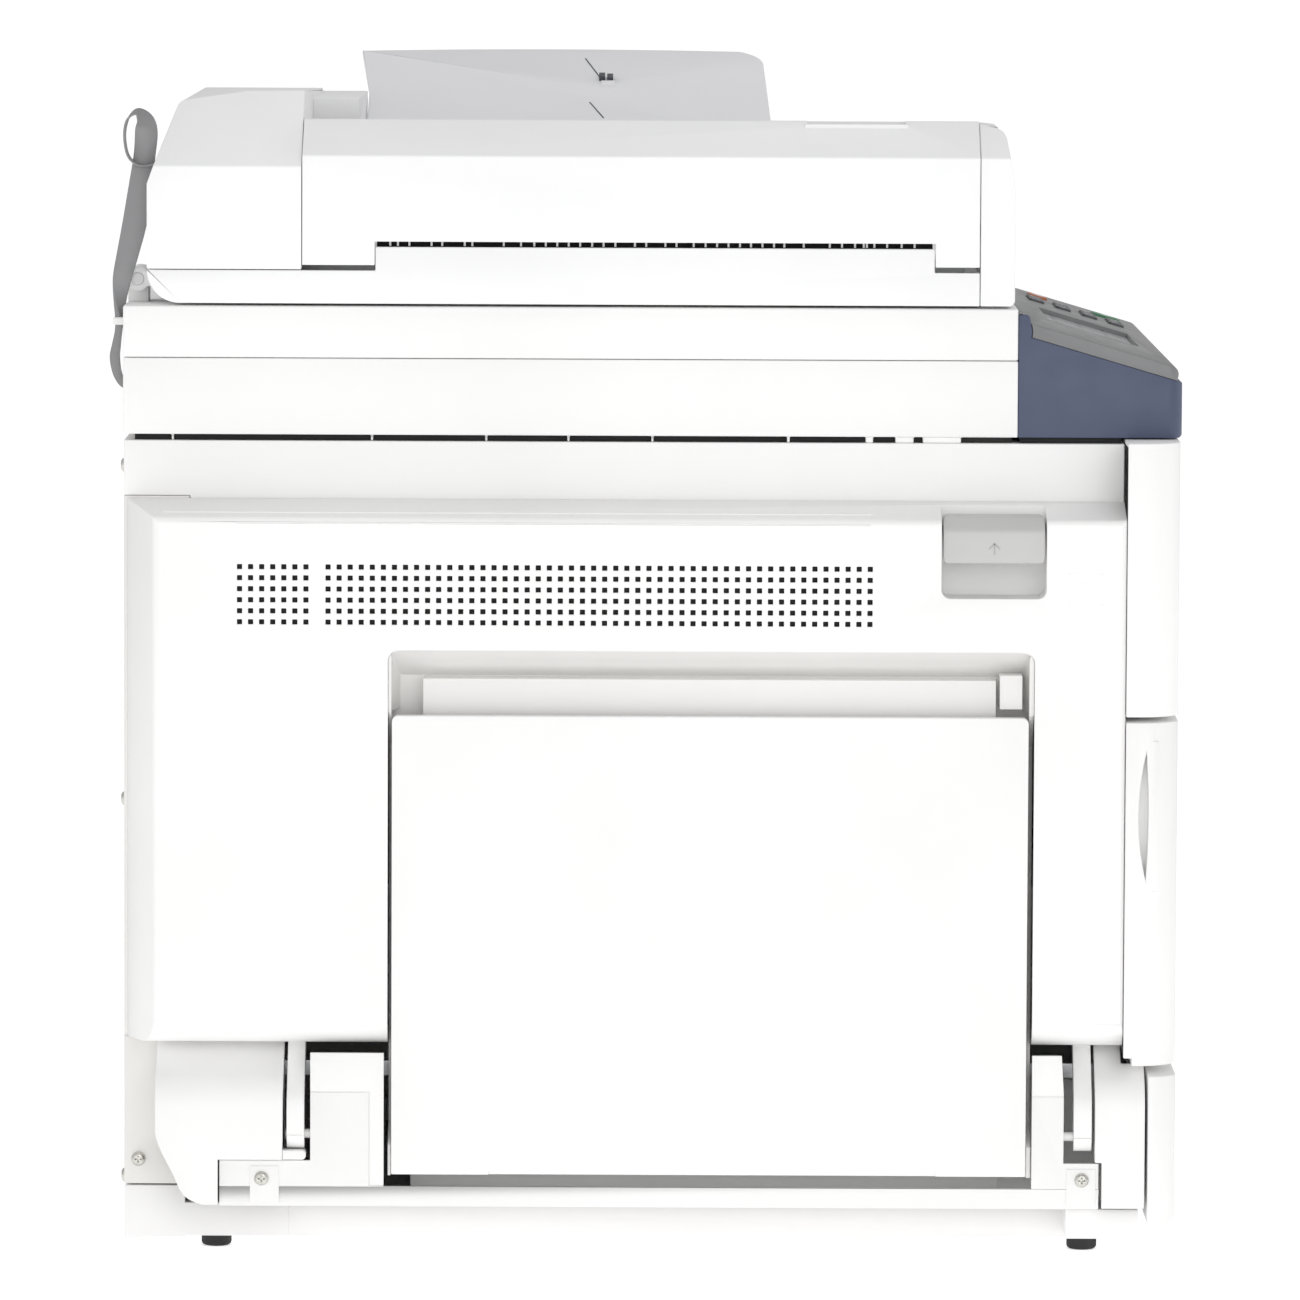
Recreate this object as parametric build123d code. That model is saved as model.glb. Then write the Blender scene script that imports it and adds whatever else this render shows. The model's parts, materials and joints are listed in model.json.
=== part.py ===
from build123d import *
import math
import os

# ---------------------------------------------------------------- driving sizes (mm)
# Left is -X, the front is -Y, up is +Z, and Z = 0 is the surface the machine stands on.
LEFT = -295.5            # outer face of the left cover, bypass tray and lower side covers
LEFT_BODY = -252.5       # left side of the body, scanner and document feeder
RIGHT_BODY = 291.0
RIGHT = 295.5            # right edge of the front covers
REAR = 345.0
BODY_FRONT = -311.0      # plane that the front covers close against
FRONT = -345.7           # face of the front covers
WALL = 3.0               # thickness of the moulded covers
PLATE = 2.4              # thickness of the steel plates

FOOT_TOP = 12.0
BASE_TOP = 32.0
BASE_CORNER_TOP = 45.4
BODY_TOP = 537.5
CAP_BOTTOM = 501.0       # underside of the cap over the paper exit column
SCANNER_BOTTOM = 541.5
SCANNER_SEAM = 591.8
GAP_RIBS = (              # spacer ribs under the scanner's left side (y, width)
    (313.0, 1.4), (182.6, 1.4), (107.8, 1.4), (54.0, 1.4), (-1.0, 1.4), (-90.0, 1.8), (-143.0, 5.0),
    (-166.0, 12.0), (-190.5, 25.0))
SCANNER_TOP = 625.5
SCANNER_FRONT = -240.0
FEEDER_BOTTOM = 627.3
FEEDER_SEAM = 652.5
FEEDER_TOP = 747.0
FEEDER_REAR_TOP = 765.0
FEEDER_CREASE = 724.0    # where the feeder's upright side meets its sloping shoulder
FEEDER_FRONT = -237.6
FEEDER_REAR = 330.0
FEEDER_RIGHT = 289.0

PANEL_TOP_Z = 362.0      # bottom edge of the upper front panel
DOOR_BOTTOM = 133.0
DOOR_TOP = 358.2
DRAWER_BOTTOM = 28.5
DRAWER_TOP = 126.0
FRONT_CORNER = 26.0      # plan radius of the front covers' vertical edges

LOWER_SWEEP = (           # rear lower outline of the lower rear cover (y, z)
    (322.5, 95.0), (320.6, 79.0), (316.8, 70.4), (309.7, 56.5), (304.5, 46.0), (296.8, 40.4), (290.0, 38.0))

COVER_A_TOP = 489.7
COVER_A_TOP_BACK = 499.7
COVER_A_BOTTOM = 144.4
COVER_A_REAR = 323.0
COVER_A_REAR_BACK = 342.5
COVER_A_BACK = -253.0
COVER_PIVOT = (-285.5, 85.0)
PIVOT_PIN_R = 3.0
RUNNING = 0.05           # radial clearance of a pin in its bore

RECESS_REAR = 170.6      # bypass recess in cover A
RECESS_FRONT = -250.7
RECESS_TOP = 404.0
RECESS_BACK = -262.0
TRAY_REAR = 168.0        # closed bypass tray
TRAY_FRONT = -247.0
TRAY_BOTTOM = 59.5
TRAY_TOP = 361.0
TRAY_THICK = 9.0
TRAY_PIVOT = (-284.0, 68.0)

VENT_HOLE = 3.4
VENT_PITCH = 7.2
VENT_ROWS = 6
VENT_REAR = 267.3        # centre of the rearmost column of vent holes
VENT_TOP = 458.0

LATCH_REAR = -189.5
LATCH_FRONT = -258.0
LATCH_PIVOT = (-270.0, 486.0)
SMALL_PIN_R = 2.0        # pins of the latch, rocker and feeder cover

EXIT_WALL_X = -114.0     # wall with the paper exit slot
EXIT_REAR = 200.0
EXIT_SLOT = (446.0, 460.0)                   # z limits of the slot
EXIT_FLOOR_LEFT = 372.0
EXIT_FLOOR_RIGHT = 402.0

DRAWER_LEFT = -230.0
DRAWER_RIGHT = 250.0
DRAWER_REAR = 130.0
DRAWER_FLOOR = 36.0
DRAWER_WALL_TOP = 116.0
PAPER_CENTRE = -90.0

PLATEN = (-150.0, 275.0, -190.0, 115.0)      # x and y limits of the platen glass
SLIT_GLASS = (-205.0, -178.0, -190.0, 115.0)
GLASS = 4.0

HINGE_Y = 338.0          # lid hinge axis
HINGE_Z = 641.0
HINGE_X = (-190.0, 190.0)
LID_PIN_R = 4.0

FEEDER_COVER_PIVOT = (-245.0, 672.0)
FEEDER_COVER_RIGHT = -64.0
TRAY_ORIGIN = (-56.0, 690.0)                 # document tray hinge axis
TRAY_SLOPE = 17.0
TRAY_LENGTH = 316.0
FAR_EDGE_R = 2000.0      # the tray's far edge is slightly crowned
GUIDE_CENTRE = 9.5
GUIDE_HALF = 124.5

PANEL_FRONT = -347.9
PANEL_EDGE = (-346.7, 587.2)                 # front edge of the panel's sloped face (y, z)
PANEL_SLOPE = 16.4
BEZEL = 8.5
KEY_PITCH = 19.3
KEY_LEFT = 150.0         # centre of the first column of number keys
KEY_FIRST = 24.0         # distance of the lowest key row from the panel's front edge
LCD = (-98.0, 62.0, 20.0, 84.0)              # x limits, then limits along the slope

INLET = (196.0, 236.0, 66.0, 96.0)           # x and z limits of the inlet's window
SWITCH_Y = -250.0
SWITCH_Z = 210.0
DOOR_PIVOT = (-340.5, 137.8)                 # y, z of the front door's hinge axis
FEED_ROLLER = (-222.0, 152.0)                # x, z of the feed roller's axis
FEED_SHAFT_R = 4.0
FUSER_ROLLER = (-200.0, 436.0)
BELT_TOP = 264.0                             # top face of the transfer belt
PICKUP = (-90.0, 694.0)                      # x, z of the pickup roller's axis
CABLE_X = -222.0


# ---------------------------------------------------------------- shape helpers
def block(x0, x1, y0, y1, z0, z1):
    centre = Pos((x0 + x1) / 2, (y0 + y1) / 2, (z0 + z1) / 2)
    return centre * Box(x1 - x0, y1 - y0, z1 - z0)


def outline(points, radii):
    """A closed outline; radii is one radius for every corner, or a list."""
    if radii == 0:
        return make_face(Polyline(*points, close=True))
    return make_face(FilletPolyline(*points, radius=radii, close=True))


def prism_x(points, x0, x1, radii=0):
    """An outline given as (y, z) points, extruded from x0 to x1."""
    face = outline([(x0, y, z) for y, z in points], radii)
    return extrude(face, amount=x1 - x0, dir=(1, 0, 0))


def prism_y(points, y0, y1, radii=0):
    """An outline given as (x, z) points, extruded from y0 to y1."""
    face = outline([(x, y0, z) for x, z in points], radii)
    return extrude(face, amount=y1 - y0, dir=(0, 1, 0))


def prism_z(points, z0, z1, radii=0):
    """An outline given as (x, y) points, extruded from z0 to z1."""
    face = outline([(x, y, z0) for x, y in points], radii)
    return extrude(face, amount=z1 - z0, dir=(0, 0, 1))


def rod_x(y, z, radius, x0, x1):
    return Pos((x0 + x1) / 2, y, z) * Rot(0, 90, 0) * Cylinder(radius, x1 - x0)


def rod_y(x, z, radius, y0, y1):
    return Pos(x, (y0 + y1) / 2, z) * Rot(90, 0, 0) * Cylinder(radius, y1 - y0)


def rod_z(x, y, radius, z0, z1):
    return Pos(x, y, (z0 + z1) / 2) * Cylinder(radius, z1 - z0)


# ---------------------------------------------------------------- base and frame
def base_frame():
    pan = block(-250, 285, -305, 325, FOOT_TOP, BASE_TOP)
    pan -= block(-243, 278, -298, 296, FOOT_TOP + WALL, BASE_TOP + 1)
    rear_block = block(LEFT_BODY + 0.1, -225, 305, 344.5, 11, BASE_CORNER_TOP)
    rear_rail = block(LEFT_BODY + 0.1, -246, 237, 306, 12, 34)
    front_block = block(-285, -246, -321.6, -274, 18, 37)
    return pan + rear_block + rear_rail + front_block


def rubber_feet():
    feet = []
    for x in (-212, 250):
        for y in (-288, 286):
            foot = rod_z(x, y, 10, 0, FOOT_TOP)
            feet.append(fillet(foot.edges().group_by(Axis.Z)[0], 3))
    return feet


def inner_frame():
    rear = block(-245, 280, 298, 298 + PLATE, BASE_TOP, 530)
    front = block(-245, 280, -300 - PLATE, -300, BASE_TOP, 530)
    front -= block(-236, 262, -304, -298, BASE_TOP - 1, 128)
    front -= block(-160, 262, -304, -298, 150, 350)
    front -= block(-118.5, 281, -304, -298, 366, 531)
    rear -= block(-118.5, -112, 297, 302, 500, 531)
    frame = rear + front
    for x, z in ((-245, 118), (268, 120), (-245, 518), (268, 354)):
        frame += block(x, x + 8, -301, 299, z, z + 10)
    for y0, y1 in ((-303, -299), (297, 301)):
        frame -= rod_y(FEED_ROLLER[0], FEED_ROLLER[1], FEED_SHAFT_R + RUNNING, y0, y1)
    return frame


def rear_cover():
    shell = block(LEFT_BODY, RIGHT_BODY, 302, REAR, BASE_TOP, BODY_TOP)
    shell -= block(LEFT_BODY + WALL, RIGHT_BODY - WALL, 301, REAR - WALL, BASE_TOP - 1, BODY_TOP - WALL)
    for row in range(14):
        z = 250 + 12 * row
        shell -= block(60, 200, REAR - 4, REAR + 1, z, z + 4)
        if row < 6:
            shell -= block(-190, -90, REAR - 4, REAR + 1, z, z + 4)
    shell -= block(INLET[0], INLET[1], REAR - 4, REAR + 1, INLET[2], INLET[3])
    shell -= block(LEFT_BODY - 1, -224, 300, REAR + 1, BASE_TOP - 1, BASE_CORNER_TOP + 1.2)
    shell -= block(LEFT_BODY - 1, LEFT_BODY + WALL + 0.6, 300, REAR + 1, CAP_BOTTOM, BODY_TOP + 1)
    shell += block(LEFT_BODY, LEFT_BODY + WALL, 286, 303, BASE_CORNER_TOP + 1.2, 140)
    groove = block(LEFT_BODY - 1, LEFT_BODY + 1.2, 303, REAR + 1, COVER_A_BOTTOM, COVER_A_BOTTOM + 1.8)
    return shell - groove


def right_cover():
    def plate(x0, x1, inset):
        low, high = BASE_TOP + inset, BODY_TOP - inset
        return prism_x(
            [(-308 + inset, low), (301.5 - inset, low), (301.5 - inset, high),
             (EXIT_REAR + inset, high), (EXIT_REAR + inset, 396 - inset), (-308 + inset, 396 - inset)],
            x0, x1)
    cover = plate(282, RIGHT_BODY, 0) - plate(281, RIGHT_BODY - WALL, WALL)
    for column in range(16):
        y = 40 + 9 * column
        cover -= block(RIGHT_BODY - 4, RIGHT_BODY + 1, y, y + 4, 230, 330)
    grip = block(280, RIGHT_BODY + 1, -60, 60, 62, 92)
    grip_wall = block(RIGHT_BODY - 16, RIGHT_BODY - 0.5, -63, 63, 59, 95)
    grip_wall -= block(RIGHT_BODY - 13, RIGHT_BODY + 1, -60, 60, 62, 92)
    switch = block(280, RIGHT_BODY + 1, SWITCH_Y - 13, SWITCH_Y + 13, SWITCH_Z - 9, SWITCH_Z + 9)
    return cover - grip + grip_wall - switch


def power_inlet():
    x0, x1, z0, z1 = INLET
    body = block(x0 + 0.5, x1 - 0.5, REAR - 26, REAR - 0.5, z0 + 0.5, z1 - 0.5)
    body -= block(x0 + 7, x1 - 7, REAR - 17, REAR, z0 + 6, z1 - 6)
    for dx, dz in ((-7, -3), (7, -3), (0, 4)):
        body += block((x0 + x1) / 2 + dx - 1, (x0 + x1) / 2 + dx + 1, REAR - 18, REAR - 6,
                      (z0 + z1) / 2 + dz - 2.5, (z0 + z1) / 2 + dz + 2.5)
    return body


def power_switch():
    rocker = prism_y(
        [(-7, -8.4), (1.5, -8.4), (3.5, 0), (1.5, 8.4), (-7, 8.4)],
        SWITCH_Y - 12.4, SWITCH_Y + 12.4)
    trunnion = rod_y(0, 0, SMALL_PIN_R, SWITCH_Y - 12.9, SWITCH_Y + 12.9)
    return Pos(RIGHT_BODY - 1.0, 0, SWITCH_Z) * Rot(0, 7, 0) * (rocker + trunnion)


# ---------------------------------------------------------------- body covers
def top_left_cover():
    """The cap over the paper exit column, with the flat left face above cover A."""
    shell = block(LEFT_BODY, EXIT_WALL_X, BODY_FRONT + 1, 301.5, CAP_BOTTOM, BODY_TOP)
    shell -= block(LEFT_BODY + WALL, EXIT_WALL_X - WALL, BODY_FRONT + 4, 302, CAP_BOTTOM - 1, BODY_TOP - WALL)
    apron = block(LEFT_BODY, LEFT_BODY + WALL, BODY_FRONT + 1, 301.5, 480, CAP_BOTTOM + 1)
    rear_flank = block(LEFT_BODY, LEFT_BODY + WALL, 301, REAR, CAP_BOTTOM + 0.3, BODY_TOP)
    slot_wall = block(
        EXIT_WALL_X - WALL, EXIT_WALL_X, BODY_FRONT + 1, EXIT_REAR - WALL - 0.5, EXIT_SLOT[1], CAP_BOTTOM + 1)
    return shell + apron + rear_flank + slot_wall


def exit_tray():
    """One moulding: the output tray's floor, the wall below the exit slot and the rear wall."""
    right = RIGHT_BODY - 9.5
    floor = prism_y(
        [(EXIT_WALL_X, EXIT_FLOOR_LEFT - 4), (right, EXIT_FLOOR_RIGHT - 4),
         (right, EXIT_FLOOR_RIGHT), (40, EXIT_FLOOR_LEFT + 14), (EXIT_WALL_X, EXIT_FLOOR_LEFT)],
        -299.5, EXIT_REAR)
    wall = block(EXIT_WALL_X - WALL, EXIT_WALL_X, -299.5, EXIT_REAR, EXIT_FLOOR_LEFT - 4, EXIT_SLOT[0])
    rear = block(EXIT_WALL_X - WALL, right, EXIT_REAR - WALL, EXIT_REAR, EXIT_FLOOR_LEFT - 4, BODY_TOP)
    rear -= block(EXIT_WALL_X - 4, EXIT_WALL_X, EXIT_REAR - 4, EXIT_REAR + 1, 500.5, BODY_TOP + 1)
    tray = floor + wall + rear
    for y in (-120, -40, 40, 120):
        tray += prism_y(
            [(EXIT_WALL_X + 2, EXIT_FLOOR_LEFT - 2), (250, EXIT_FLOOR_RIGHT - 4),
             (250, EXIT_FLOOR_RIGHT + 1.5), (EXIT_WALL_X + 2, EXIT_FLOOR_LEFT + 7)],
            y - 4, y + 4)
    return tray


def front_outline(inset=0.0):
    """Plan of the front covers: a flat face with a large radius at each end."""
    half = RIGHT - inset
    near, far = BODY_FRONT + 0.5, FRONT + inset
    return [(-half, near), (-half, far), (half, far), (half, near)]


def front_shell(z0, z1):
    """A front cover between two heights, hollow at the back."""
    corner = FRONT_CORNER
    outer = prism_z(front_outline(), z0, z1, [0, corner, corner, 0])
    inner = prism_z(front_outline(WALL), z0 + WALL, z1 - WALL, [0, corner - WALL, corner - WALL, 0])
    return outer - inner


def front_upper_panel():
    panel = front_shell(PANEL_TOP_Z, SCANNER_BOTTOM - 1)
    opening = block(EXIT_WALL_X, 310, -360, -300, 398, 560)
    closing = block(
        EXIT_WALL_X - WALL, EXIT_WALL_X, FRONT + 2, BODY_FRONT + 0.5, PANEL_TOP_Z + 1, SCANNER_BOTTOM - 1)
    lip = block(EXIT_WALL_X - 1, RIGHT - 2, FRONT + 12, BODY_FRONT + 0.5, 395, 398)
    return panel - opening + closing + lip


def finger_scoop(x0, x1, z_mid, half_height, y_mid, bulge):
    """A lens-shaped hollow, seen from the side."""
    top = (x0, y_mid, z_mid + half_height)
    bottom = (x0, y_mid, z_mid - half_height)
    arc_rear = ThreePointArc(top, (x0, y_mid + bulge, z_mid), bottom)
    chord = ThreePointArc(bottom, (x0, y_mid - bulge * 0.35, z_mid), top)
    return extrude(make_face(Curve() + [arc_rear, chord]), amount=x1 - x0, dir=(1, 0, 0))


def front_door():
    door = front_shell(DOOR_BOTTOM, DOOR_TOP)
    for side in (-1, 1):
        x0, x1 = sorted((side * (RIGHT + 2), side * (RIGHT - 12)))
        door += block(*sorted((side * (RIGHT - 16), side * (RIGHT - 1))), -332, -316, 248, 346)
        door -= finger_scoop(x0, x1, 297, 42, -324, 5)
    trimmed = block(-300, 300, -316, -300, DOOR_BOTTOM - 1, DOOR_BOTTOM + WALL + 2)
    knuckles = rod_x(DOOR_PIVOT[0], DOOR_PIVOT[1], 4.2, -250, 250)
    return door - trimmed + knuckles


# ---------------------------------------------------------------- lower left side
def side_curve(x_inner, y0, y1):
    """The lower side covers' section: it curves out of the body and runs down to the base."""
    return prism_y(
        [(x_inner, 38), (LEFT, 38), (LEFT, 116), (LEFT_BODY - 6, 143), (x_inner, 143)],
        y0, y1, [0, 6, 26, 5, 0])


def hollow_side_cover(y0, y1):
    outer = side_curve(LEFT_BODY, y0, y1)
    inner = prism_y(
        [(LEFT_BODY + 1, 37), (LEFT + WALL, 37), (LEFT + WALL, 114.5), (LEFT_BODY - 7, 139.5),
         (LEFT_BODY + 1, 139.5)],
        y0 + WALL, y1 - WALL, [0, 5, 23, 5, 0])
    return outer - inner


def lower_rear_cover():
    x0 = LEFT - 1
    sweep = Spline(*[(x0, y, z) for y, z in LOWER_SWEEP])
    edges = Polyline(
        (x0, *LOWER_SWEEP[-1]), (x0, 239, 38), (x0, 239, 150), (x0, 322.5, 150), (x0, *LOWER_SWEEP[0]))
    corner = extrude(make_face(Curve() + [sweep, edges]), amount=LEFT_BODY + 2 - LEFT, dir=(1, 0, 0))
    cover = hollow_side_cover(239, 322.5) & corner
    cover -= block(LEFT - 1, -262, 230, 281.5, 30, 68.6)
    tab = prism_x([(240, 68.8), (223.9, 68.8), (223.9, 75), (240, 75)], LEFT + 0.5, -280, [0, 2.5, 2.5, 0])
    return cover + tab


def lower_front_cover():
    cover = hollow_side_cover(-325, -292.5)
    cover -= block(LEFT - 1, -240, -326, -310, DOOR_BOTTOM - 1.5, 150)
    return cover - block(LEFT - 1, -250, -297, -290, 30, 69)


def bracket_end(points, grooves, lug_y, pin_y, pad_y):
    """One end of the bracket: a face plate with seam grooves, a lug, a hinge pin and a screw pad."""
    end = prism_x(points, -292.5, -289.5)
    for y0, y1, z0, z1 in grooves:
        end -= block(-293, -291.7, y0, y1, z0, z1)
    end += block(-290, -262, *lug_y, 41, 130)
    end += rod_y(*COVER_PIVOT, PIVOT_PIN_R, *pin_y)
    return end + block(-293.5, -292, *pad_y, 51, 64.3) + block(-293.5, -292.5, *pad_y, 40, 51)


def hinge_bracket():
    """The welded bracket that carries cover A: a rail, a guard strip and two ends with the hinge pins."""
    rail = block(-292.5, -289.5, -295, 280.5, 38, 51) + block(-292.5, -254, -294, 236, 38, 41)
    strip = block(-268, -266, -229.5, 156, 41, 56)
    rear = bracket_end(
        [(280.5, 51), (280.5, 68), (221, 68), (221, 139), (173, 139), (173, 51)],
        ((182.9, 222, 112.9, 113.7), (182.1, 182.9, 52.2, 113.7), (172, 182.9, 51.4, 52.2)),
        (192, 218.5), (218, 237.5), (241.5, 260.5))
    front = bracket_end(
        [(-251.1, 51), (-251.1, 139), (-270.5, 139), (-272, 113), (-272, 68), (-295, 68), (-295, 51)],
        ((-273, -250, 111.9, 112.7),), (-271, -254), (-290, -270.5), (-293, -274))
    return [rail, strip, rear, front]


# ---------------------------------------------------------------- cover A
def cover_a_volume(inset):
    """The bulge of cover A: flared at the top and rear, cut back by inset."""
    back = COVER_A_BACK + inset
    side = prism_y(
        [(back, COVER_A_BOTTOM + inset), (LEFT + inset, COVER_A_BOTTOM + inset),
         (LEFT + inset, COVER_A_TOP - inset), (back, COVER_A_TOP_BACK - inset)],
        -320, 350, [0, 20 - inset, 5, 0])
    flare = (COVER_A_REAR_BACK - COVER_A_REAR) / (COVER_A_BACK - LEFT)
    behind = COVER_A_BACK + 10
    rear_behind = COVER_A_REAR_BACK + 10 * flare - inset
    plan = prism_z(
        [(behind, -310.2 + inset), (LEFT + inset, -310.2 + inset),
         (LEFT + inset, COVER_A_REAR - inset), (behind, rear_behind)],
        100, 520, [0, 4, 6, 0])
    return side & plan


def vent_columns():
    """Y of each column of vent holes: seven, one left out, then fifty."""
    return [VENT_REAR - VENT_PITCH * i for i in range(58) if i != 7]


def strap(y0, y1):
    arm = prism_y(
        [(-254, 152), (-254, 139), (-279, 117), (-279, 85),
         (-295, 85), (-295, 108), (-268, 142), (-268, 152)],
        y0, y1, [0, 4, 14, 0, 0, 22, 4, 0])
    boss = rod_y(*COVER_PIVOT, 9.4, y0, y1)
    return arm + boss - rod_y(*COVER_PIVOT, PIVOT_PIN_R + RUNNING, y0 - 1, y1 + 1)


def cover_a_shell():
    body = cover_a_volume(0)
    shell = body - cover_a_volume(WALL)
    pocket = block(LEFT - 1, -259, LATCH_FRONT - WALL, LATCH_REAR + WALL, 436, 500)
    shell += body & pocket
    shell -= prism_x(
        [(LATCH_FRONT, 439), (LATCH_REAR, 439), (LATCH_REAR, 501), (LATCH_FRONT, 501)],
        LEFT - 1, -262, [6, 6, 0, 0])
    shell -= prism_x(
        [(RECESS_FRONT, 140), (RECESS_REAR, 140), (RECESS_REAR, RECESS_TOP), (RECESS_FRONT, RECESS_TOP)],
        LEFT - 2, COVER_A_BACK + 3, [0, 0, 7, 7])
    for y0, y1 in ((225, 236.4), (-290.3, -278.6)):
        shell += strap(y0, y1)
    shell += rod_y(*LATCH_PIVOT, SMALL_PIN_R, LATCH_FRONT - 1, LATCH_REAR + 1)
    columns = vent_columns()
    for row in range(VENT_ROWS):
        z = VENT_TOP - VENT_PITCH * row
        holes = [Pos(LEFT + 1, y, z) * Box(8, VENT_HOLE, VENT_HOLE) for y in columns]
        shell -= holes
    ridge = block(LEFT - 0.1, LEFT + 1, VENT_REAR - 410, VENT_REAR + 2, 486.2, 487.2)
    return shell + (ridge & block(LEFT - 1, LEFT + 2, -400, 400, 400, 487.2))


def cover_a_liner():
    """The recess behind the bypass tray, with the arms that carry the tray's pivots."""
    lip = LEFT + WALL + 0.1
    section = [(lip, RECESS_TOP - 0.5), (RECESS_BACK, RECESS_TOP - 19), (RECESS_BACK, 58),
               (RECESS_BACK + WALL, 58), (RECESS_BACK + WALL, RECESS_TOP - 15), (lip, RECESS_TOP + 2.5)]
    liner = prism_y(section, RECESS_FRONT + 0.2, RECESS_REAR - 0.2)
    liner += block(-280, -261, -226, 148, 340, 384)
    liner -= block(-277, -258, -223, 145, 343, 381)
    for y0, y1 in ((TRAY_REAR + 0.5, RECESS_REAR - 0.2), (RECESS_FRONT + 0.2, TRAY_FRONT - 0.5)):
        liner += prism_y(
            [(RECESS_BACK + 1, 58), (-289, 58), (-289, 78), (-270, 92), (-270, 340), (LEFT + 4, 362),
             (lip, RECESS_TOP - 3), (RECESS_BACK + 1, RECESS_TOP - 19)], y0, y1)
        liner -= rod_y(*TRAY_PIVOT, 3 + RUNNING, y0 - 1, y1 + 1)
    stop = block(-286, -261, -243, -228.5, 366, 388)
    return liner + stop + recess_cheek(RECESS_FRONT + 0.2, 1) + recess_cheek(RECESS_REAR - 0.2, -1)


def recess_cheek(y, side):
    """The drafted side of the recess above the tray, with a rounded top corner; side is the way it faces."""
    lip = LEFT + WALL + 0.1
    wedge = prism_z([(lip, y), (RECESS_BACK, y), (RECESS_BACK, y + side * 7)], 363, RECESS_TOP)
    corner = block(lip, RECESS_BACK, *sorted((y, y + side * 7)), RECESS_TOP - 8, RECESS_TOP)
    corner -= rod_x(y + side * 7, RECESS_TOP - 8, 7, LEFT, RECESS_BACK + 1)
    ceiling = prism_y(
        [(lip, 360), (lip, RECESS_TOP - 0.5), (RECESS_BACK, RECESS_TOP - 19), (RECESS_BACK, 360)],
        y - 10, y + 10)
    return (wedge + corner) & ceiling


def bypass_tray():
    panel = prism_x(
        [(TRAY_REAR, TRAY_BOTTOM), (TRAY_REAR, TRAY_TOP), (TRAY_FRONT, TRAY_TOP), (TRAY_FRONT, TRAY_BOTTOM)],
        LEFT, LEFT + TRAY_THICK, [1, 4, 4, 1])
    panel -= block(
        LEFT + 2.5, LEFT + TRAY_THICK + 1, TRAY_FRONT + 3, TRAY_REAR - 3, TRAY_BOTTOM + 18, TRAY_TOP - 3)
    sheet = block(LEFT + 5, LEFT + 7, TRAY_FRONT + 2, TRAY_REAR - 2, TRAY_BOTTOM + 17, TRAY_TOP - 2)
    heel = block(LEFT + 2, TRAY_PIVOT[0] + 5, TRAY_FRONT, TRAY_REAR, TRAY_BOTTOM + 1, TRAY_PIVOT[1] + 6)
    slot = block(LEFT - 1, LEFT + 2, -188, 104, 57, 61.8)
    pins = rod_y(*TRAY_PIVOT, 3, TRAY_REAR - 2, RECESS_REAR - 0.4)
    pins += rod_y(*TRAY_PIVOT, 3, RECESS_FRONT + 0.4, TRAY_FRONT + 2)
    return panel + sheet + heel - slot + pins


def cover_latch():
    y0, y1 = LATCH_FRONT + 1.2, LATCH_REAR - 1.2
    lever = prism_y(
        [(-293.5, 462), (-293.5, 483), (-284, 492.5), (-264.5, 492.5),
         (-264.5, 480), (-279, 476), (-287, 462)],
        y0, y1, [1, 5, 4, 4, 4, 6, 1])
    face = prism_x([(y0, 461), (y0, 493), (y1, 493), (y1, 461)], -300, -260, 5)
    return (lever & face) - rod_y(*LATCH_PIVOT, SMALL_PIN_R + RUNNING, y0 - 1, y1 + 1)


# ---------------------------------------------------------------- paper drawer
def paper_drawer():
    front = prism_z(
        [(-RIGHT, -327), (-RIGHT, FRONT), (RIGHT, FRONT), (RIGHT, -327)],
        DRAWER_BOTTOM, DRAWER_TOP, [0, 18, 18, 0])
    section = prism_x(
        [(-320, DRAWER_BOTTOM), (-350, DRAWER_BOTTOM), (-350, DRAWER_TOP), (-320, DRAWER_TOP)],
        -RIGHT, RIGHT, [0, 9, 2, 0])
    front = front & section
    front -= block(-75, 75, -350, -334, 84, 108)
    front += block(-75, 75, -345, -341, 104, 112)
    bin_outer = block(DRAWER_LEFT, DRAWER_RIGHT, -327.5, DRAWER_REAR, DRAWER_FLOOR - WALL, DRAWER_WALL_TOP)
    bin_inner = block(DRAWER_LEFT + WALL, DRAWER_RIGHT - WALL, -320, DRAWER_REAR - WALL, DRAWER_FLOOR, 200)
    return front + (bin_outer - bin_inner)


def drawer_lift_plate():
    plate = block(-222, 56, PAPER_CENTRE - 82, PAPER_CENTRE + 82, 39, 40.6)
    return plate + rod_y(56, 39.8, 2.4, PAPER_CENTRE - 82, PAPER_CENTRE + 82)


def drawer_guide(side):
    """A paper width guide: side is -1 at the front and 1 at the rear."""
    y = PAPER_CENTRE + side * 149
    wall = block(-190, 30, min(y, y + side * 3), max(y, y + side * 3), DRAWER_FLOOR + 0.3, 104)
    flange = block(-60, 0, min(y, y + side * 22), max(y, y + side * 22), DRAWER_FLOOR + 0.3, DRAWER_FLOOR + 4)
    return wall + flange


# ---------------------------------------------------------------- print engine
def imaging_cartridges():
    """Four all-in-one cartridges: a toner bottle above, a drum against the belt below."""
    cartridges = []
    for index in range(4):
        x = -68 + 56 * index
        cartridge = rod_y(x, BELT_TOP + 58, 23, -296, 240)
        cartridge += block(x - 20, x + 20, -294, 235, BELT_TOP + 18, BELT_TOP + 46)
        cartridge += rod_y(x, BELT_TOP + 14.6, 14, -290, 230)
        cartridge += block(x - 10, x + 10, -299, -290, BELT_TOP + 48, BELT_TOP + 79)
        cartridges.append(cartridge)
    return cartridges


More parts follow.
